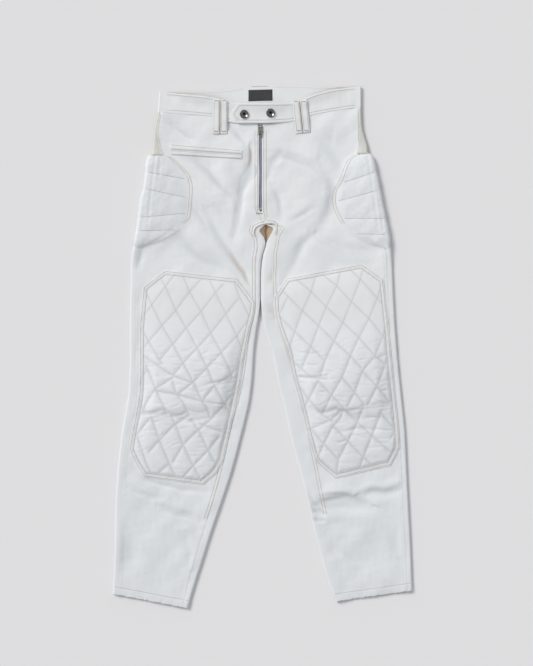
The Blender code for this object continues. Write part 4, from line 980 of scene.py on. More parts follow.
def build_back(side):
    parts = {0.0: [], CLOTH: []}
    for half in halves(side):
        fold, under, leg = back_places(half)
        for depth, made in parts.items():
            ends = (OUTER, fold), (OUTER, under), (INNER, leg)
            grid = np.concatenate([half.at(end, lengths, depth) for end, lengths in ends], axis=1)
            if not half.trunk:
                wrap = grid[:, -leg.shape[1]:]
                pucker = seam_shape(half.back_to - leg, wrap[..., 1], 41)
                wrap[..., 2] += pucker * smoothstep((leg - 2.0) / 6.0)
                close_slit(half, leg, wrap)
            made.append(grid)
    outside, inside = (hem_turn(over_fork(*made)) for made in parts.values())
    outside[..., 2] = np.maximum(outside[..., 2], 0)
    down, height = TOP_Y - outside[..., 1], outside[..., 2]
    wrapped = np.arange(outside.shape[1]) > outside.shape[1] - 16
    # Painted shade: warm shade in the slit between the legs below the fork, and grey shade in the inner-leg
    # puckers.
    deep = smoothstep((6.95 - height) / 2.6) * wrapped * smoothstep((down - 268) / 12)
    deep = deep * (1 - smoothstep((down - 445) / 30))
    at_seam = [crease for crease in CREASES if "inseam" in crease.name and crease.height < 0]
    hollow = grey_shade_share(outside, at_seam) * (height > 3)
    made = wall(f"cloth_back_{side}", outside, inside, CANVAS, deep, hollow)
    return stands_for(made, f"back_{side}", "canvas", "surface")


def build_side(side):
    half, = rows_between(side, "waist", "gusset end", 2.5)
    share = np.linspace(1, -1, 41)[None, :]
    lengths = (half.front_from - SEAM_GAP) * share
    ripple = 0.3 * waves(half.down, lengths, 24, 6, 61)
    outside = half.at(OUTER, lengths, ripple * (1 - np.abs(share)))
    made = wall(f"cloth_side_{side}", outside, half.at(OUTER, lengths, CLOTH), RIB)
    stands_for(made, f"side_{side}", "rib", f"cloth_back_{side}")


def hip_puff(side, half, length):
    """How far a hip pad's channels stand out, nothing at its curve, seams and underside."""
    reach = half.front_from
    share = np.clip(length / reach, 0, 1)
    channels = [mix(channel.at_fold, channel.at_curve, share) for channel in HIP_CHANNELS[side]]
    lines = [DOWN_AT[side]["pad top"] + 0 * share, *channels, OUTSEAM[side][-3][0] + 0 * share]
    puff = np.zeros_like(share)
    for above, below in zip(lines, lines[1:]):
        inside = (above < half.down) & (half.down < below)
        along = np.clip((half.down - above) / (below - above), 0, 1)
        puff = np.where(inside, np.sin(np.pi * along) ** 0.55, puff)
    quarter = half.side_radius * math.pi / 2
    across, down = half.plan(half.inset(OUTER, np.maximum(length, quarter)))
    crumple = 0.3 * waves(across, down, 24, 8, 71) + 0.12 * waves(across, down, 9, 8, 73)
    for line in HIP_PRESS[side]:
        gap, _, _ = nearest(across, down, line)
        crumple = crumple - 0.4 * bell(gap, 2.2) + 0.25 * bell(gap - 6, 4)
    fade = smoothstep((reach - length) / 16) * smoothstep((length + quarter) / quarter)
    return (1.05 * puff + crumple) * fade


def build_hip_pad(side):
    outside, inside = [], []
    for half in rows_between(side, "pad top", "pad tip", PAD_STEP):
        turn = PAD_TURN[side]
        crowd = mix(0.5, 1.0, smoothstep((half.down - turn[0][0] + 20) / 40))
        gap = SEAM_GAP + 0.5 * smoothstep((half.down - turn[1][0]) / 10)
        top, bottom = half.front_from - SEAM_GAP, half.back_from + gap
        share = np.linspace(1, -1, 97)[None, :]
        lengths = (top + bottom) / 2 + (top - bottom) / 2 * (crowd * share + (1 - crowd) * share**3)
        quarter = half.side_radius * math.pi / 2
        from_side = half.inset(OUTER, np.maximum(np.abs(lengths), quarter))
        room = (half.loft(from_side) - half.lift - 1.0) / 2
        from_edge = np.minimum(half.front_from - lengths, lengths - half.back_from)
        thick = mix(CLOTH, np.maximum(CLOTH, np.minimum(6.0, room)), smoothstep(from_edge / 14))
        rim = seam_shape(np.maximum(0, top - lengths), half.down + 0 * lengths, 51)
        rim = rim * smoothstep(lengths / quarter)
        outside.append(half.at(OUTER, lengths, -hip_puff(side, half, lengths) - rim))
        inside.append(half.at(OUTER, lengths, thick))
    made = wall(f"padded_hip_{side}", over_fork(*outside), over_fork(*inside), HIP_CLOTH)
    stands_for(made, f"hip_pad_{side}", "quilting")
    return made


def softened(values, sigma):
    """A grid of heights with its sharp changes rounded."""
    reach = int(3 * sigma) + 1
    weights = np.exp(-0.5 * (np.arange(-reach, reach + 1) / sigma) ** 2)
    weights /= weights.sum()
    for axis in (0, 1):
        values = np.apply_along_axis(
            lambda line: np.convolve(np.pad(line, reach, mode="edge"), weights, "valid"), axis, values)
    return values


def quilt_distance(across, down, lines, reach=26.0):
    """Distance from each place to the nearest line of stitches, up to `reach`."""
    gap = np.full(across.shape, reach)
    for line in lines:
        line = np.array(line, float)
        (left, above), (right, below) = line.min(axis=0) - reach, line.max(axis=0) + reach
        near = (across > left) & (across < right) & (down > above) & (down < below)
        if near.any():
            gap[near] = np.minimum(gap[near], nearest(across[near], down[near], line)[0])
    return gap


def knee_grid(side):
    edges = KNEE_PAD[side]
    half = rows_from(side, edges[0].side_down, edges[-1].side_down, PAD_STEP, False)
    places, outer, inner = zip(*edges)
    outer, inner = np.interp(half.down, places, outer), np.interp(half.down, places, inner)
    start = np.maximum(outer, half.inset(OUTER, half.front_from) + 0.8)
    end = half.front_width - np.maximum(inner, half.inset(INNER, half.front_to) + 0.8)
    from_side = mix(start, end, np.linspace(0, 1, 124)[None, :])
    return half, from_side, *half.plan(from_side)


def inset_ring(border, distance):
    """A closed line of points moved inwards from a border."""
    along = np.roll(border, -6, axis=0) - np.roll(border, 6, axis=0)
    along /= np.linalg.norm(along, axis=1)[:, None]
    area = np.sum(border[:, 0] * np.roll(border[:, 1], -1) - border[:, 1] * np.roll(border[:, 0], -1))
    normal = np.stack([-along[:, 1], along[:, 0]], axis=1) * np.sign(area)
    moved = border + normal * distance
    return np.concatenate([moved, moved[:1]])


def knee_dome(side, across, down, border):
    """The knee's own bulge: a long rise from the thigh and a short drop below the kneecap."""
    centre = (border[:, 0].min() + border[:, 0].max()) / 2
    lean = 0.06 if side == "right" else -0.1
    along = down + (across - centre) * lean
    rise = smoothstep((along - 470) / 140)
    drop = 1 - 0.7 * smoothstep((along - 636) / 28) - 0.3 * smoothstep((along - 690) / 70)
    return rise * drop * np.cos(np.clip((across - centre) / 135, -1, 1) * math.pi / 2) ** 1.1


def pinches(across, down):
    """Short level wrinkles where the quilting gathers the cloth, thickest around the knee."""
    total = np.zeros_like(across)
    for spacing, depth, seed in ((8.5, 1.5, 81), (13.0, 1.2, 84)):
        drift = down + 4.5 * waves(across, down, 62, 6, seed)
        valley = np.clip((np.cos(2 * np.pi * drift / spacing) - 0.45) / 0.55, 0, 1) ** 1.3
        patchy = smoothstep(0.15 + 0.95 * waves(across / 2.4, down, 19, 8, seed + 1))
        total -= depth * valley * patchy
    return total * smoothstep((down - 455) / 110) * (1 - 0.35 * smoothstep((down - 700) / 60))


def build_knee_pad(side):
    half, from_side, across, down = knee_grid(side)
    border = ring(np.stack([across, down], axis=-1))
    closed = np.concatenate([border, border[:1]])[::2]
    from_edge = softened(quilt_distance(across, down, [closed], reach=60.0), 1.0)
    seam = np.minimum(quilt_distance(across, down, QUILTING[side]), np.abs(from_edge - PAD_ROWS[1]))
    wrinkles = pinches(across, down)
    low = smoothstep((down - 440) / 160)
    pillow = np.sqrt(np.clip(1 - (1 - np.minimum(seam, 12.0) / 12.0) ** 2, 0, 1))
    height = mix(0.45, 2.6, low) * pillow + wrinkles * np.clip(seam / 4, 0.3, 1)
    height = softened(height, 0.6) + 0.12 * waves(across, down, 30, 7, 87)
    for crease in PAD_FOLDS:
        height = height + fold_shape(crease, across, down)
    within = smoothstep((from_edge - PAD_ROWS[1] - 0.5) / 5)
    rim = mix(0.5, 1.6, np.sqrt(np.clip(from_edge / 1.6, 0, 1)))
    for at in PAD_ROWS:
        rim = rim - 0.35 * bell(from_edge - at, 1.0)
    rim = rim + 0.15 * waves(across, down, 12, 8, 89) * smoothstep(from_edge / 3) * (1 - within)
    thick = rim + within * height + 1.4 * smoothstep((from_edge - PAD_ROWS[1]) / 26)
    thick = thick + 9.5 * knee_dome(side, across, down, border) * smoothstep((from_edge - 6) / 30)
    base = half.loft(from_side)
    calm = mix(base, half.loft(from_side, 0.3), smoothstep((from_edge - 3) / 14))
    outside = placed(across, down, np.maximum(calm + SEAM_GAP + thick, base + 0.7))
    # Painted shade: grey shade in the quilting grooves and in the wrinkles. The lower part of the pad is
    # also made greyer throughout.
    groove = mix(0.45, 0.75, low) * bell(seam, 2.8) + 0.22 * low
    hollow = np.maximum(groove, grey_shade_share(outside, PAD_FOLDS))
    hollow = np.maximum(hollow, 0.5 * np.clip(-wrinkles / 1.6, 0, 1))
    inside = placed(across, down, base + SEAM_GAP)
    made = wall(f"padded_knee_{side}", outside, inside, QUILTED, hollow=hollow)
    stands_for(made, f"knee_pad_{side}", "quilting")
    return made, [inset_ring(border, at) for at in PAD_ROWS], closed


def band_point(side, across, share, on_front, height):
    top = curve(BAND_FRONT_TOP if on_front else BAND_BACK_TOP, across)
    seam = curve(BAND_FRONT_SEAM, across) if on_front else waist_line(side, across, False)
    return placed(across, mix(top, seam - SEAM_GAP, share), height)


def band_side(side, share):
    """Where the waistband's side fold lies, part of the way from its top edge to its seam."""
    top, seam = (-206, -209) if side == "right" else (197, 197)
    return mix(top, seam, share)


def rounded(edge, radius=0.9):
    """How far a face drops beside its edge."""
    return radius - np.sqrt(np.maximum(0, radius**2 - (radius - np.minimum(edge, radius)) ** 2))


# Rows of the waistband, as shares of the way from its top edge to its seam.
BAND_SHARES = (0, 0.012, 0.03, 0.06, 0.1, 0.2, 0.35, 0.5, 0.65, 0.8, 0.9, 0.95, 0.98, 1.0)
BAND_SHARES = np.array(BAND_SHARES)[:, None]


def build_band_half(side):
    """The front of the waistband. The left one runs on past the zip as the tab."""
    share = BAND_SHARES
    wrap = BAND_WRAP + SEAM_GAP
    start = band_side(side, share) + (wrap if side == "right" else -wrap)
    end = BAND_RIGHT_END + 0 * share
    if side == "left":
        end = mix(TAB_SHOULDER, TAB_POINT, 1 - np.abs(2 * share - 1))
    near = np.array([0, 0.002, 0.005])[None, :]
    step = np.concatenate([near, np.linspace(0, 1, 100)[None, 2:-2], 1 - near[:, ::-1]], axis=1)
    across = mix(start, end, step)
    height = BAND_TOP_Z + 0 * across
    if side == "left":
        height += (BAND_THICKNESS + 0.5) * (1 - smoothstep((across - BAND_RIGHT_END - 4) / 50))
    outside = band_point(side, across, share, True, height)
    down = TOP_Y - outside[..., 1]
    ripple = 0.3 * waves(across, down, 30, 7, 91) + 0.12 * waves(across, down, 11, 8, 93)
    from_top = share * BAND_WIDTH
    edge = np.minimum(np.minimum(from_top, BAND_WIDTH - from_top), (1 - step) * 200)
    gape = BAND_GAPE * (1 - smoothstep(share / 0.5)) * smoothstep(step / 0.25)
    outside[..., 2] += ripple * smoothstep(edge / 6) * smoothstep(step / 0.03) - rounded(edge) + gape
    inside = outside.copy()
    inside[..., 2] = height - BAND_THICKNESS + gape
    made = wall(f"cloth_waistband_{side}", outside, inside, CANVAS)
    return stands_for(made, f"waistband_{side}", "canvas", "cloth_waistband_back")


def band_turn(side, depth):
    """Columns of the back waistband from its front end, over the side fold, to its underside."""
    share = BAND_SHARES
    edge, sign = band_side(side, share), 1 if side == "right" else -1
    columns = [band_point(side, edge + sign * flat, share, True, BAND_TOP_Z - depth)
               for flat in (BAND_WRAP, 11, 8, 4)]
    for turn in np.radians(np.linspace(90, -90, 9)):
        radius = BAND_RADIUS - depth
        across = edge + sign * (BAND_RADIUS - radius * math.cos(turn))
        height = LOOP_LIFT + BAND_RADIUS + radius * math.sin(turn)
        columns.append(band_point(side, across, share, turn >= 0, height))
    return np.concatenate(columns, axis=1)


def build_band_back():
    """The back of the waistband, which comes over both side folds to the front."""
    share = BAND_SHARES
    faces = []
    for depth in (0.0, BAND_THICKNESS):
        middle = np.linspace(0, 1, 82)[None, 1:-1]
        across = mix(band_side("right", share) + 4, band_side("left", share) - 4, middle)
        right, left = (band_point(side, across, share, False, LOOP_LIFT + depth) for side in SIDES)
        under = np.where((across < ZIP_ACROSS)[..., None], right, left)
        first, last = (band_turn(side, depth) for side in SIDES)
        faces.append(np.concatenate([first, under, last[:, ::-1]], axis=1))
    outside, inside = faces
    across, down = inside[..., 0], TOP_Y - inside[..., 1]
    # Painted shade: warm shade on the inside face of the back band, just above the front band's top edge,
    # towards both ends.
    shut = smoothstep((np.abs(across - 10) - 60) / 60) * (np.abs(across) < 190)
    behind = outside[..., 2] < LOOP_LIFT + BAND_RADIUS
    deep = np.exp(-np.clip(curve(BAND_FRONT_TOP, across) - down, 0, 90) / 5.0) * shut * behind * 0.4
    made = wall("cloth_waistband_back", outside, inside, CANVAS, deep)
    return stands_for(made, "waistband_back", "canvas", "surface")


def surface_of(*things):
    """A tree of the faces of built pieces, in mm, to find how high they stand at a place."""
    points, faces = [], []
    for thing in things:
        start = len(points)
        points += [v.co / MM for v in thing.data.vertices]
        faces += [[start + i for i in face.vertices] for face in thing.data.polygons]
    return BVHTree.FromPolygons(points, faces)


def heights_at(tree, across, down):
    """The height of the cloth at each place, or -1 where there is none."""
    found = []
    for x, y in zip(across.ravel(), down.ravel()):
        hit = tree.ray_cast(Vector((x, TOP_Y - y, 200.0)), Vector((0, 0, -1)))[0]
        found.append(hit.z if hit else -1.0)
    return np.array(found).reshape(across.shape)


def strip_plan(start, end, width, rows, columns, offset=0.0):
    """Places on a straight strip, row by row from start to end, with lengths along and across it."""
    start, end = np.array(start, float), np.array(end, float)
    length = np.linalg.norm(end - start)
    along = (end - start) / length
    beside = np.array([along[1], -along[0]])
    t = np.linspace(0, 1, rows)[:, None, None]
    s = np.linspace(-0.5, 0.5, columns)[None, :, None]
    places = start + along * length * t + beside * (offset + s * width)
    return places[..., 0], places[..., 1], t[..., 0] * length, (s[..., 0] + 0.5) * width


def lay_strip(node, rests_on, across, down, base, thickness, from_edge,
              finish=CANVAS, slot="canvas", swell=0.25, deep=None):
    """A soft strip with rounded edges that lies on the given heights."""
    top = base + thickness - rounded(from_edge, 0.6) + swell * smoothstep(from_edge / 4)
    made = wall(f"cloth_{node}", placed(across, down, top), placed(across, down, base), finish, deep)
    return stands_for(made, node, slot, rests_on)


def straps(loops, rows, columns):
    """The two straps of each belt loop, and how far their points are from their edges."""
    for loop in loops:
        for suffix, offset in (("a", -STRAP_PITCH / 2), ("b", STRAP_PITCH / 2)):
            across, down, t, s = strip_plan(loop.start, loop.end, STRAP_WIDTH, rows, columns, offset)
            edge = np.minimum(np.minimum(s, STRAP_WIDTH - s), np.minimum(t, t[-1, 0] - t))
            yield f"{loop.name}_{suffix}", across, down, t, s, edge


def build_front_loops(tree):
    made = []
    for name, across, down, t, s, edge in straps(FRONT_LOOPS, 48, 13):
        heights = heights_at(tree, across, down).max(axis=1)
        for _ in range(12):
            padded = np.pad(heights, 1, mode="edge")
            heights = np.maximum(heights, (padded[:-2] + padded[2:]) / 2)
        heights = np.convolve(np.pad(heights, 3, mode="edge"), np.ones(7) / 7, "valid")
        bulge = 1.2 * np.sin(np.pi * np.clip(t / t[-1, 0], 0, 1)) ** 0.6
        base = heights[:, None] + 0.4 + bulge + 0 * s
        # Painted shadow: warm shade along each strap's edge that faces the other strap, for the gap between
        # them.
        between = 0.55 * np.exp(-(STRAP_WIDTH - s if name.endswith("a") else s) / 0.8) + 0 * base
        band = "cloth_waistband_right" if "right" in name else "cloth_waistband_left"
        made.append(lay_strip(name, band, across, down, base, STRAP_THICKNESS, edge, deep=between))
    return made


def build_back_loops():
    for name, across, down, _, _, edge in straps(BACK_LOOPS, 24, 9):
        lay_strip(name, "surface", across, down, 0 * across, 1.3, edge, swell=0.1)


def unit_grid(rows, columns):
    """Shares of the way down a strip and across it."""
    return np.linspace(0, 1, rows)[:, None], np.linspace(0, 1, columns)[None, :]


def to_edge(t, s, height, width):
    """Distance from each place of a strip to its nearest edge."""
    return np.minimum(np.minimum(t, 1 - t) * height, np.minimum(s, 1 - s) * width)


def build_welts(tree):
    made = []
    t, s = unit_grid(13, 70)
    for welt in WELTS:
        height = mix(welt.start_height, welt.end_height, s)
        across = mix(welt.start[0], welt.end[0], s) + 0 * t
        down = mix(welt.start[1], welt.end[1], s) + height * t
        edge = to_edge(t, s, np.abs(height), 144)
        base = heights_at(tree, across, down) + SEAM_GAP
        made.append(lay_strip(welt.name, "cloth_front_right", across, down, base, 1.2, edge, swell=0.3))
    return made


def lengths_along(line):
    """How far along a broken line each of its corners is."""
    return np.concatenate([[0], np.cumsum(np.hypot(*np.diff(line, axis=0).T))])


def points_along(line, lengths, places):
    return np.stack([np.interp(places, lengths, line[:, i]) for i in (0, 1)], axis=1)


def unit(way, least=0.0):
    """Directions with length one."""
    return way / np.maximum(np.linalg.norm(way, axis=1), least)[:, None]


def across_way(way):
    """Directions turned a quarter round."""
    return np.stack([-way[:, 1], way[:, 0]], axis=1)


def build_fork_edge():
    """The turned edge that stands as a roll round the opening at the fork."""
    line = np.array(FORK_EDGE, float)
    lengths = lengths_along(line)
    along = np.linspace(0, lengths[-1], 90)
    points = points_along(line, lengths, along)
    for _ in range(6):
        points[1:-1] = (points[:-2] + 2 * points[1:-1] + points[2:]) / 4
    beside = across_way(unit(np.gradient(points, axis=0)))
    share = np.linspace(-1, 1, 15)
    fade = smoothstep(np.minimum(along, lengths[-1] - along) / 13)[:, None]
    width = (1.6 + 1.5 * fade) * (1 + 0.1 * waves(along, 0, 11, 5, 95)[:, None])
    plan = points[:, None, :] + beside[:, None, :] * (share * width)[..., None]
    base = 5.6 + 0 * width
    top = base + 0.5 + (0.5 + 2.0 * fade) * np.sqrt(np.clip(1 - share**2, 0, 1))
    outside, inside = (placed(plan[..., 0], plan[..., 1], height) for height in (top, base))
    # Painted shade: warm shade towards both sides of the roll.
    made = wall("cloth_fork_edge", outside, inside, CANVAS, 0.35 * np.abs(share) ** 3 * fade)
    stands_for(made, None, "canvas", "cloth_front_right", "cloth_front_left")
    return made, [points[4:-4] + beside[4:-4] * aside for aside in (-3.7, 0.9)]


def build_label():
    (left, top), (width, height) = LABEL_CORNER, LABEL_SIZE
    t, s = unit_grid(19, 37)
    lift = 0.5 * smoothstep((t - 0.4) / 0.6) * (1 + 0.4 * np.sin(9 * s)) + 0 * s
    base = LOOP_LIFT + BAND_THICKNESS + SEAM_GAP + lift
    across, down = left + width * s + 0 * t, top + height * t - 1.2 * s
    edge = to_edge(t, s, height, width)
    lay_strip("label", "cloth_waistband_back", across, down, base, 0.5, edge, BLACK, "label", 0.1)


# One stitch: four rings of four points, as (share of its length, how far above the cloth, width).
STITCH_RINGS = ((-0.5, -0.4, 0.7), (-0.3, 0.08, 0.95), (0.3, 0.08, 0.95), (0.5, -0.4, 0.7))
STITCH_ROUND = ((-0.5, 0.0), (0.0, 0.5), (0.5, 0.0), (0.0, -0.5))
STITCH_SIDES = [(first + i, first + j, first + 4 + j, first + 4 + i)
                for first in (0, 4, 8) for i, j in ((0, 1), (1, 2), (2, 3), (3, 0))]
STITCH_FACES = np.array([*STITCH_SIDES, (3, 2, 1, 0), (12, 13, 14, 15)])


def thread(name, lines, tree, pitch=3.3, stitch=2.9, width=0.95, keep=None, finish=THREAD):
    """Rows of stitches that lie on the cloth along lines of (across, down) points."""
    centres, ways = [], []
    for line in lines:
        line = np.array(line, float)
        lengths = lengths_along(line)
        places = np.arange(pitch / 2, lengths[-1] - stitch / 2, pitch)
        if len(places):
            centres.append(points_along(line, lengths, places))
            ways.append(unit(points_along(line, lengths, places + 0.5) - centres[-1], 1e-6))
    centre, way = np.concatenate(centres), np.concatenate(ways)
    if keep is not None:
        wanted = keep(centre[:, 0], centre[:, 1])
        centre, way = centre[wanted], way[wanted]
    rings, beside = [], across_way(way)
    for share, above, wide in STITCH_RINGS:
        place = centre + way * stitch * share
        height = heights_at(tree, place[:, 0], place[:, 1])
        for aside, up in STITCH_ROUND:
            spot = place + beside * (aside * width * wide)
            rings.append(placed(spot[:, 0], spot[:, 1], height + above + up * width * wide))
    points = np.stack(rings, axis=1)
    points = points[points[:, :, 2].min(axis=1) > 0]
    faces = np.arange(len(points))[:, None, None] * 16 + STITCH_FACES
    made = piece(name, points.reshape(-1, 3) * MM, faces.reshape(-1, 4), finish)


def seam_lines(side, end, distances, first, last, trunk):
    """Lines on the front panel at distances from its outer or inner seam."""
    half = Half(side, np.arange(first, last, 4.0), trunk)
    lines = []
    for distance in distances:
        if end == OUTER:
            place = half.inset(OUTER, half.front_from) + distance
        else:
            place = half.front_width - half.inset(INNER, half.front_to) - distance
        lines.append(np.concatenate(half.plan(place), axis=1))
    return lines


def bar_tack(across, down, width, rows=5, height=1.6):
    """A short block of close stitches."""
    lines = []
    for i in range(rows):
        at = down + (i / (rows - 1) - 0.5) * height
        lines.append(((across - width / 2, at), (across + width / 2, at)))
    return lines


def shifted(table, start, end, count, shift):
    """A line beside an edge that is given as a table."""
    across = np.linspace(start, end, count)
    return np.stack([across, curve(table, across) + shift], axis=1)


def hem_lines(side):
    """The hem's row of stitches: its middle on the front panel, and its two ends on the back's wraps."""
    hem = Half(side, [DOWN_AT[side]["hem"] - HEM_ROW], False)
    start, end = hem.inset(OUTER, hem.front_from), hem.front_width - hem.inset(INNER, hem.front_to)
    start, end, width = start[0, 0], end[0, 0], hem.front_width[0, 0]
    parts = (start + 0.5, end - 0.5, 60), (2.5, start - 0.5, 10), (end + 0.5, width - 2.5, 10)
    lines = []
    for first, last, count in parts:
        across, down = hem.plan(np.linspace(first, last, count)[None, :])
        lines.append(np.stack([across[0], down[0]], axis=1))
    return lines[0], lines[1:]


def channel_lines(side):
    """The stitched lines between a hip pad's channels."""
    last = DOWN_AT[side]["fork above"]
    channels = []
    for channel in HIP_CHANNELS[side]:
        line = []
        for share in np.linspace(0.08, 0.97, 40):
            at = mix(channel.at_fold, channel.at_curve, share)
            row = Half(side, [min(at, last)], True)
            length = np.maximum(share * row.front_from, row.side_radius * math.pi / 2)
            across, down = row.plan(row.inset(OUTER, length))
            line.append((across[0, 0], down[0, 0] + at - min(at, last)))
        channels.append(line)
    return channels


def sew_half(side, front, back, hip, knee):
    at, row_end = DOWN_AT[side], DOUBLE_ROW_END[side]
    front = surface_of(front)
    lines = seam_lines(side, OUTER, SEAM_ROWS, at["pad top"], at["fork above"], True)
    lines += seam_lines(side, OUTER, SEAM_ROWS[:1], at["waist"] + 4, at["gusset end"], True)
    lines += seam_lines(side, INNER, SEAM_ROWS, at["fork"], row_end, False)
    hem, wraps = hem_lines(side)
    thread(f"thread_hem_{side}", wraps, surface_of(back))
    thread(f"thread_front_{side}", [*lines, hem, *FLY_ROWS[side]], front)
    faint = seam_lines(side, OUTER, (1.6, 6.5), at["fork"], at["hem"] - 2, False)
    faint += seam_lines(side, INNER, SEAM_ROWS[:1], row_end + 6, at["hem"] - 2, False)
    thread(f"thread_legs_{side}", faint, front, width=0.5, finish=PALE_THREAD)
    pad, edge_lines, closed = knee
    tree = surface_of(pad)
    thread(f"thread_knee_edge_{side}", edge_lines, tree)

    def inside(across, down):
        return nearest(across, down, closed)[0] > PAD_ROWS[1] + 0.5

    thread(f"thread_knee_{side}", QUILTING[side], tree, 3.5, 3.1, 0.8, inside, QUILT_THREAD)
    thread(f"thread_hip_{side}", channel_lines(side), surface_of(hip), 3.5, 3.1, 1.0)


def sew_band(bands, band_back):
    lines = []
    for start, end in ((-192, -63), (184, -46)):
        for table, shift in ((BAND_FRONT_TOP, 4.0), (BAND_FRONT_SEAM, -6.0)):
            lines.append(shifted(table, start, end, 80, shift))
    # The second line is a row of dark thread along the tab's lower edge, put there for the shadow under
    # that edge: a painted shadow.
    lines += [((-46, 42), (-56.5, 57.5), (-46, 73)), ((-59.2, 58.5), (-49.8, 74))]
    thread("thread_waistband", lines, surface_of(*bands))
    lines = [shifted(BAND_BACK_TOP, start, end, 60, 4.5) for start, end in ((-185, -34), (26, 180))]
    tree = surface_of(band_back)
    thread("thread_band_inside", lines, tree, width=0.6, finish=PALE_THREAD)
    tacks = [((-22, 3.4), (12, 2.6)), ((148, 5.6), (178, 6.2)), ((-184, 16.6), (-162, 16.6))]
    thread("thread_band_tacks", tacks, tree, width=1.1)


def sew_loops(loops):
    tree = surface_of(*loops)
    lines, tacks = [], []
    for loop in FRONT_LOOPS:
        for offset in (-STRAP_PITCH / 2, STRAP_PITCH / 2):
            for aside in (-4.8, 4.8):
                across, down, _, _ = strip_plan(loop.start, loop.end, 0.0, 20, 1, offset + aside)
                lines.append(np.stack([across[1:-1, 0], down[1:-1, 0]], axis=1))
            for at in (0.03, 0.93):
                x, y = (mix(start, end, at) for start, end in zip(loop.start, loop.end))
                tacks += bar_tack(x + offset, y, 9.0)
    thread("thread_loops", lines, tree)
    thread("thread_loop_tacks", tacks, tree, pitch=2.2, stitch=2.0, width=0.6)


def sew_welts(welts):
    lines = []
    for welt in WELTS:
        ends = (welt.start, welt.start_height, 1.5), (welt.end, welt.end_height, -1.5)
        for share in (0.16, 0.86):
            lines.append([(x + shift, y + height * share) for (x, y), height, shift in ends])
    upper, lower = WELTS
    for first, last, aside in ((upper.start, lower.start, 1.6), (upper.end, lower.end, -1.6)):
        foot = last[1] + lower.end_height - 1.0
        lines.append(((first[0] + aside, first[1] + 1.0), (last[0] + aside, foot)))
    thread("thread_welts", lines, surface_of(*welts))


def deselect():
    bpy.ops.object.select_all(action="DESELECT")


def finished(thing, name, material, node, slot):
    """A hard piece gets its name, material and place on the garment."""
    thing.name = name
    thing.data.materials.append(material)
    thing.select_set(False)
    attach(thing, "garment")
    stands_for(thing, node, slot)


def pick_faces(thing, wanted):
    """In edit mode, selects the faces that the rule picks by their normal."""
    bpy.ops.object.mode_set(mode="EDIT")
    bpy.ops.mesh.select_mode(type="FACE")
    bpy.ops.mesh.select_all(action="DESELECT")
    bpy.ops.object.mode_set(mode="OBJECT")
    for face in thing.data.polygons:
        face.select = wanted(face.normal)
    bpy.ops.object.mode_set(mode="EDIT")


def build_snap(name, across, down):
    """A press-stud cap: a rolled rim round a dished centre."""
    deselect()
    place = (across * MM, (TOP_Y - down) * MM, (SNAP_BASE_Z + SNAP_HEIGHT / 2) * MM)
    size = {"radius": SNAP_RADIUS * MM, "depth": SNAP_HEIGHT * MM}
    bpy.ops.mesh.primitive_cylinder_add(vertices=72, location=place, **size)
    cap = bpy.context.active_object
    bpy.ops.object.transform_apply(location=True, rotation=True, scale=True)
    pick_faces(cap, lambda normal: normal.z > 0.9)
    for inward, sunk in ((0.9, 0.0), (0.8, 0.25), (1.2, 0.6), (1.4, 0.5), (1.6, 0.3), (1.4, 0.1)):
        bpy.ops.mesh.inset(thickness=inward * MM, depth=0)
        bpy.ops.transform.translate(value=(0, 0, -sunk * MM))
    bpy.ops.object.mode_set(mode="OBJECT")
    rim = cap.modifiers.new("rolled rim", "BEVEL")
    rim.width, rim.segments, rim.limit_method, rim.angle_limit = 0.85 * MM, 5, "ANGLE", math.radians(60)
    bpy.ops.object.modifier_apply(modifier=rim.name)
    bpy.ops.object.shade_smooth_by_angle(angle=math.radians(50))
    finished(cap, f"{name}_cap", NICKEL_WITH_PAINTED_DARK_REFLECTION, name, "nickel")


def build_tooth_row(sign, shift):
    """One moulded tooth, copied down one side of the chain."""
    pitch, size = 2.3, (3.3, 1.35, 1.7)
    top, bottom = ZIP_TOP + SLIDER_LENGTH + 1.5, ZIP_BOTTOM - 4.6
    place = (ZIP_ACROSS - sign * 0.85, TOP_Y - top - shift * pitch, CHAIN_Z + size[2] / 2)
    place = tuple(part * MM for part in place)
    deselect()
    bpy.ops.mesh.primitive_cube_add(size=MM, location=place, scale=size)
    tooth = bpy.context.active_object
    bpy.ops.object.transform_apply(location=True, rotation=True, scale=True)
    pick_faces(tooth, lambda normal: normal.x * sign > 0.9)
    bpy.ops.transform.resize(value=(1, 0.6, 1), center_override=place)
    pick_faces(tooth, lambda normal: normal.z > 0.9)
    bpy.ops.mesh.bevel(offset=0.3 * MM, segments=2)
    bpy.ops.object.mode_set(mode="OBJECT")
    chain = tooth.modifiers.new("down the chain", "ARRAY")
    chain.use_relative_offset, chain.use_constant_offset = False, True
    chain.constant_offset_displace = (0, -pitch * MM, 0)
    chain.count = int((bottom - top - shift * pitch) / pitch)
    bpy.ops.object.modifier_apply(modifier=chain.name)
    return tooth


def build_teeth():
    """The closed chain: two rows of teeth that lock, half a pitch apart."""
    rows = [build_tooth_row(1, 0.0), build_tooth_row(-1, 0.5)]
    for row in rows:
        row.select_set(True)
    bpy.context.view_layer.objects.active = rows[0]
    bpy.ops.object.join()
    finished(bpy.context.active_object, "zip_teeth", ZINC, "zip_chain", "zinc")


def finish_node(name, material):
    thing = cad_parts[name]
    for slot in thing.material_slots:
        slot.material = material
    if not thing.material_slots:
        thing.data.materials.append(material)


def build_floor():
    deselect()
    bpy.ops.mesh.primitive_plane_add(size=8.0, location=(0, 0, 0))
    floor = bpy.context.active_object
    floor.name = "surface"
    paper = Finish("pale surface", (0.80, 0.80, 0.81), 0.95)
    paper.tint(paper.noise(5.0, 2.0), (0.778, 0.772, 0.785), (0.772, 0.766, 0.779))
    floor.data.materials.append(paper.material)
    floor.select_set(False)


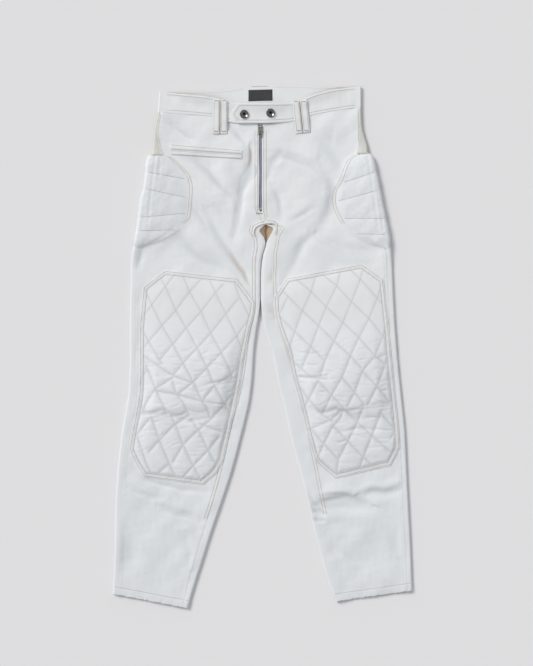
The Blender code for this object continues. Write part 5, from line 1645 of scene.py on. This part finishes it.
def build_world():
    """Even studio light, with a dark patch straight overhead where the camera would be."""
    world = bpy.data.worlds.new("studio")
    bpy.context.scene.world = world
    world.use_nodes = True
    tree = world.node_tree
    place, split, overhead, sky = (
        tree.nodes.new(f"ShaderNode{kind}") for kind in ("TexCoord", "SeparateXYZ", "MapRange", "Mix"))
    overhead.interpolation_type, sky.data_type = "SMOOTHSTEP", "RGBA"
    overhead.inputs["From Min"].default_value, overhead.inputs["From Max"].default_value = 0.93, 0.985
    sky.inputs[6].default_value = (0.97, 0.985, 1.0, 1.0)
    sky.inputs[7].default_value = (0.05, 0.05, 0.055, 1.0)
    background = tree.nodes["Background"].inputs
    for source, target in (
        (place.outputs["Generated"], split.inputs[0]), (split.outputs["Z"], overhead.inputs["Value"]),
        (overhead.outputs[0], sky.inputs[0]), (sky.outputs[2], background["Color"]),
    ):
        tree.links.new(source, target)
    background["Strength"].default_value = WORLD_STRENGTH


def add_object(name, data):
    thing = bpy.data.objects.new(name, data)
    bpy.context.scene.collection.objects.link(thing)
    return thing


def build_light_and_camera():
    sun = bpy.data.lights.new("window", "SUN")
    sun.energy, sun.angle, sun.color = SUN_STRENGTH, math.radians(22), (1.0, 0.99, 0.97)
    add_object("window", sun).rotation_euler = Vector((-1.0, 0.9, 1.0)).to_track_quat("Z", "Y").to_euler()
    camera = bpy.data.cameras.new("above")
    camera.sensor_fit, camera.sensor_width, camera.lens = "AUTO", 36.0, 81.1
    eye = add_object("above", camera)
    eye.location = (0.008, 0.0267, 3.0)
    bpy.context.scene.camera = eye
    bpy.context.scene.view_settings.view_transform = "Standard"


fronts, backs, hips, knees = {}, {}, {}, {}
for side in SIDES:
    fronts[side] = build_front(side)
    backs[side] = build_back(side)
    build_side(side)
    hips[side] = build_hip_pad(side)
    knees[side] = build_knee_pad(side)
bands = [build_band_half(side) for side in SIDES]
band_back = build_band_back()
loops = build_front_loops(surface_of(*fronts.values(), *bands))
build_back_loops()
welts = build_welts(surface_of(fronts["right"]))
build_label()
fork_edge, fork_lines = build_fork_edge()
for side in SIDES:
    sew_half(side, fronts[side], backs[side], hips[side], knees[side])
thread("thread_fork", fork_lines + bar_tack(-5, 257, 16.0), surface_of(fork_edge, *fronts.values()))
sew_band(bands, band_back)
sew_loops(loops)
sew_welts(welts)
build_teeth()
for name, (across, down) in SNAPS:
    build_snap(name, across, down)
for name in ("zip_slider", "zip_pull"):
    finish_node(name, OLD_NICKEL_WITH_PAINTED_GLINTS)
finish_node("zip_stop", ZINC)
for name in ("zip_tape_right", "zip_tape_left"):
    finish_node(name, TAPE)
build_floor()
build_world()
build_light_and_camera()
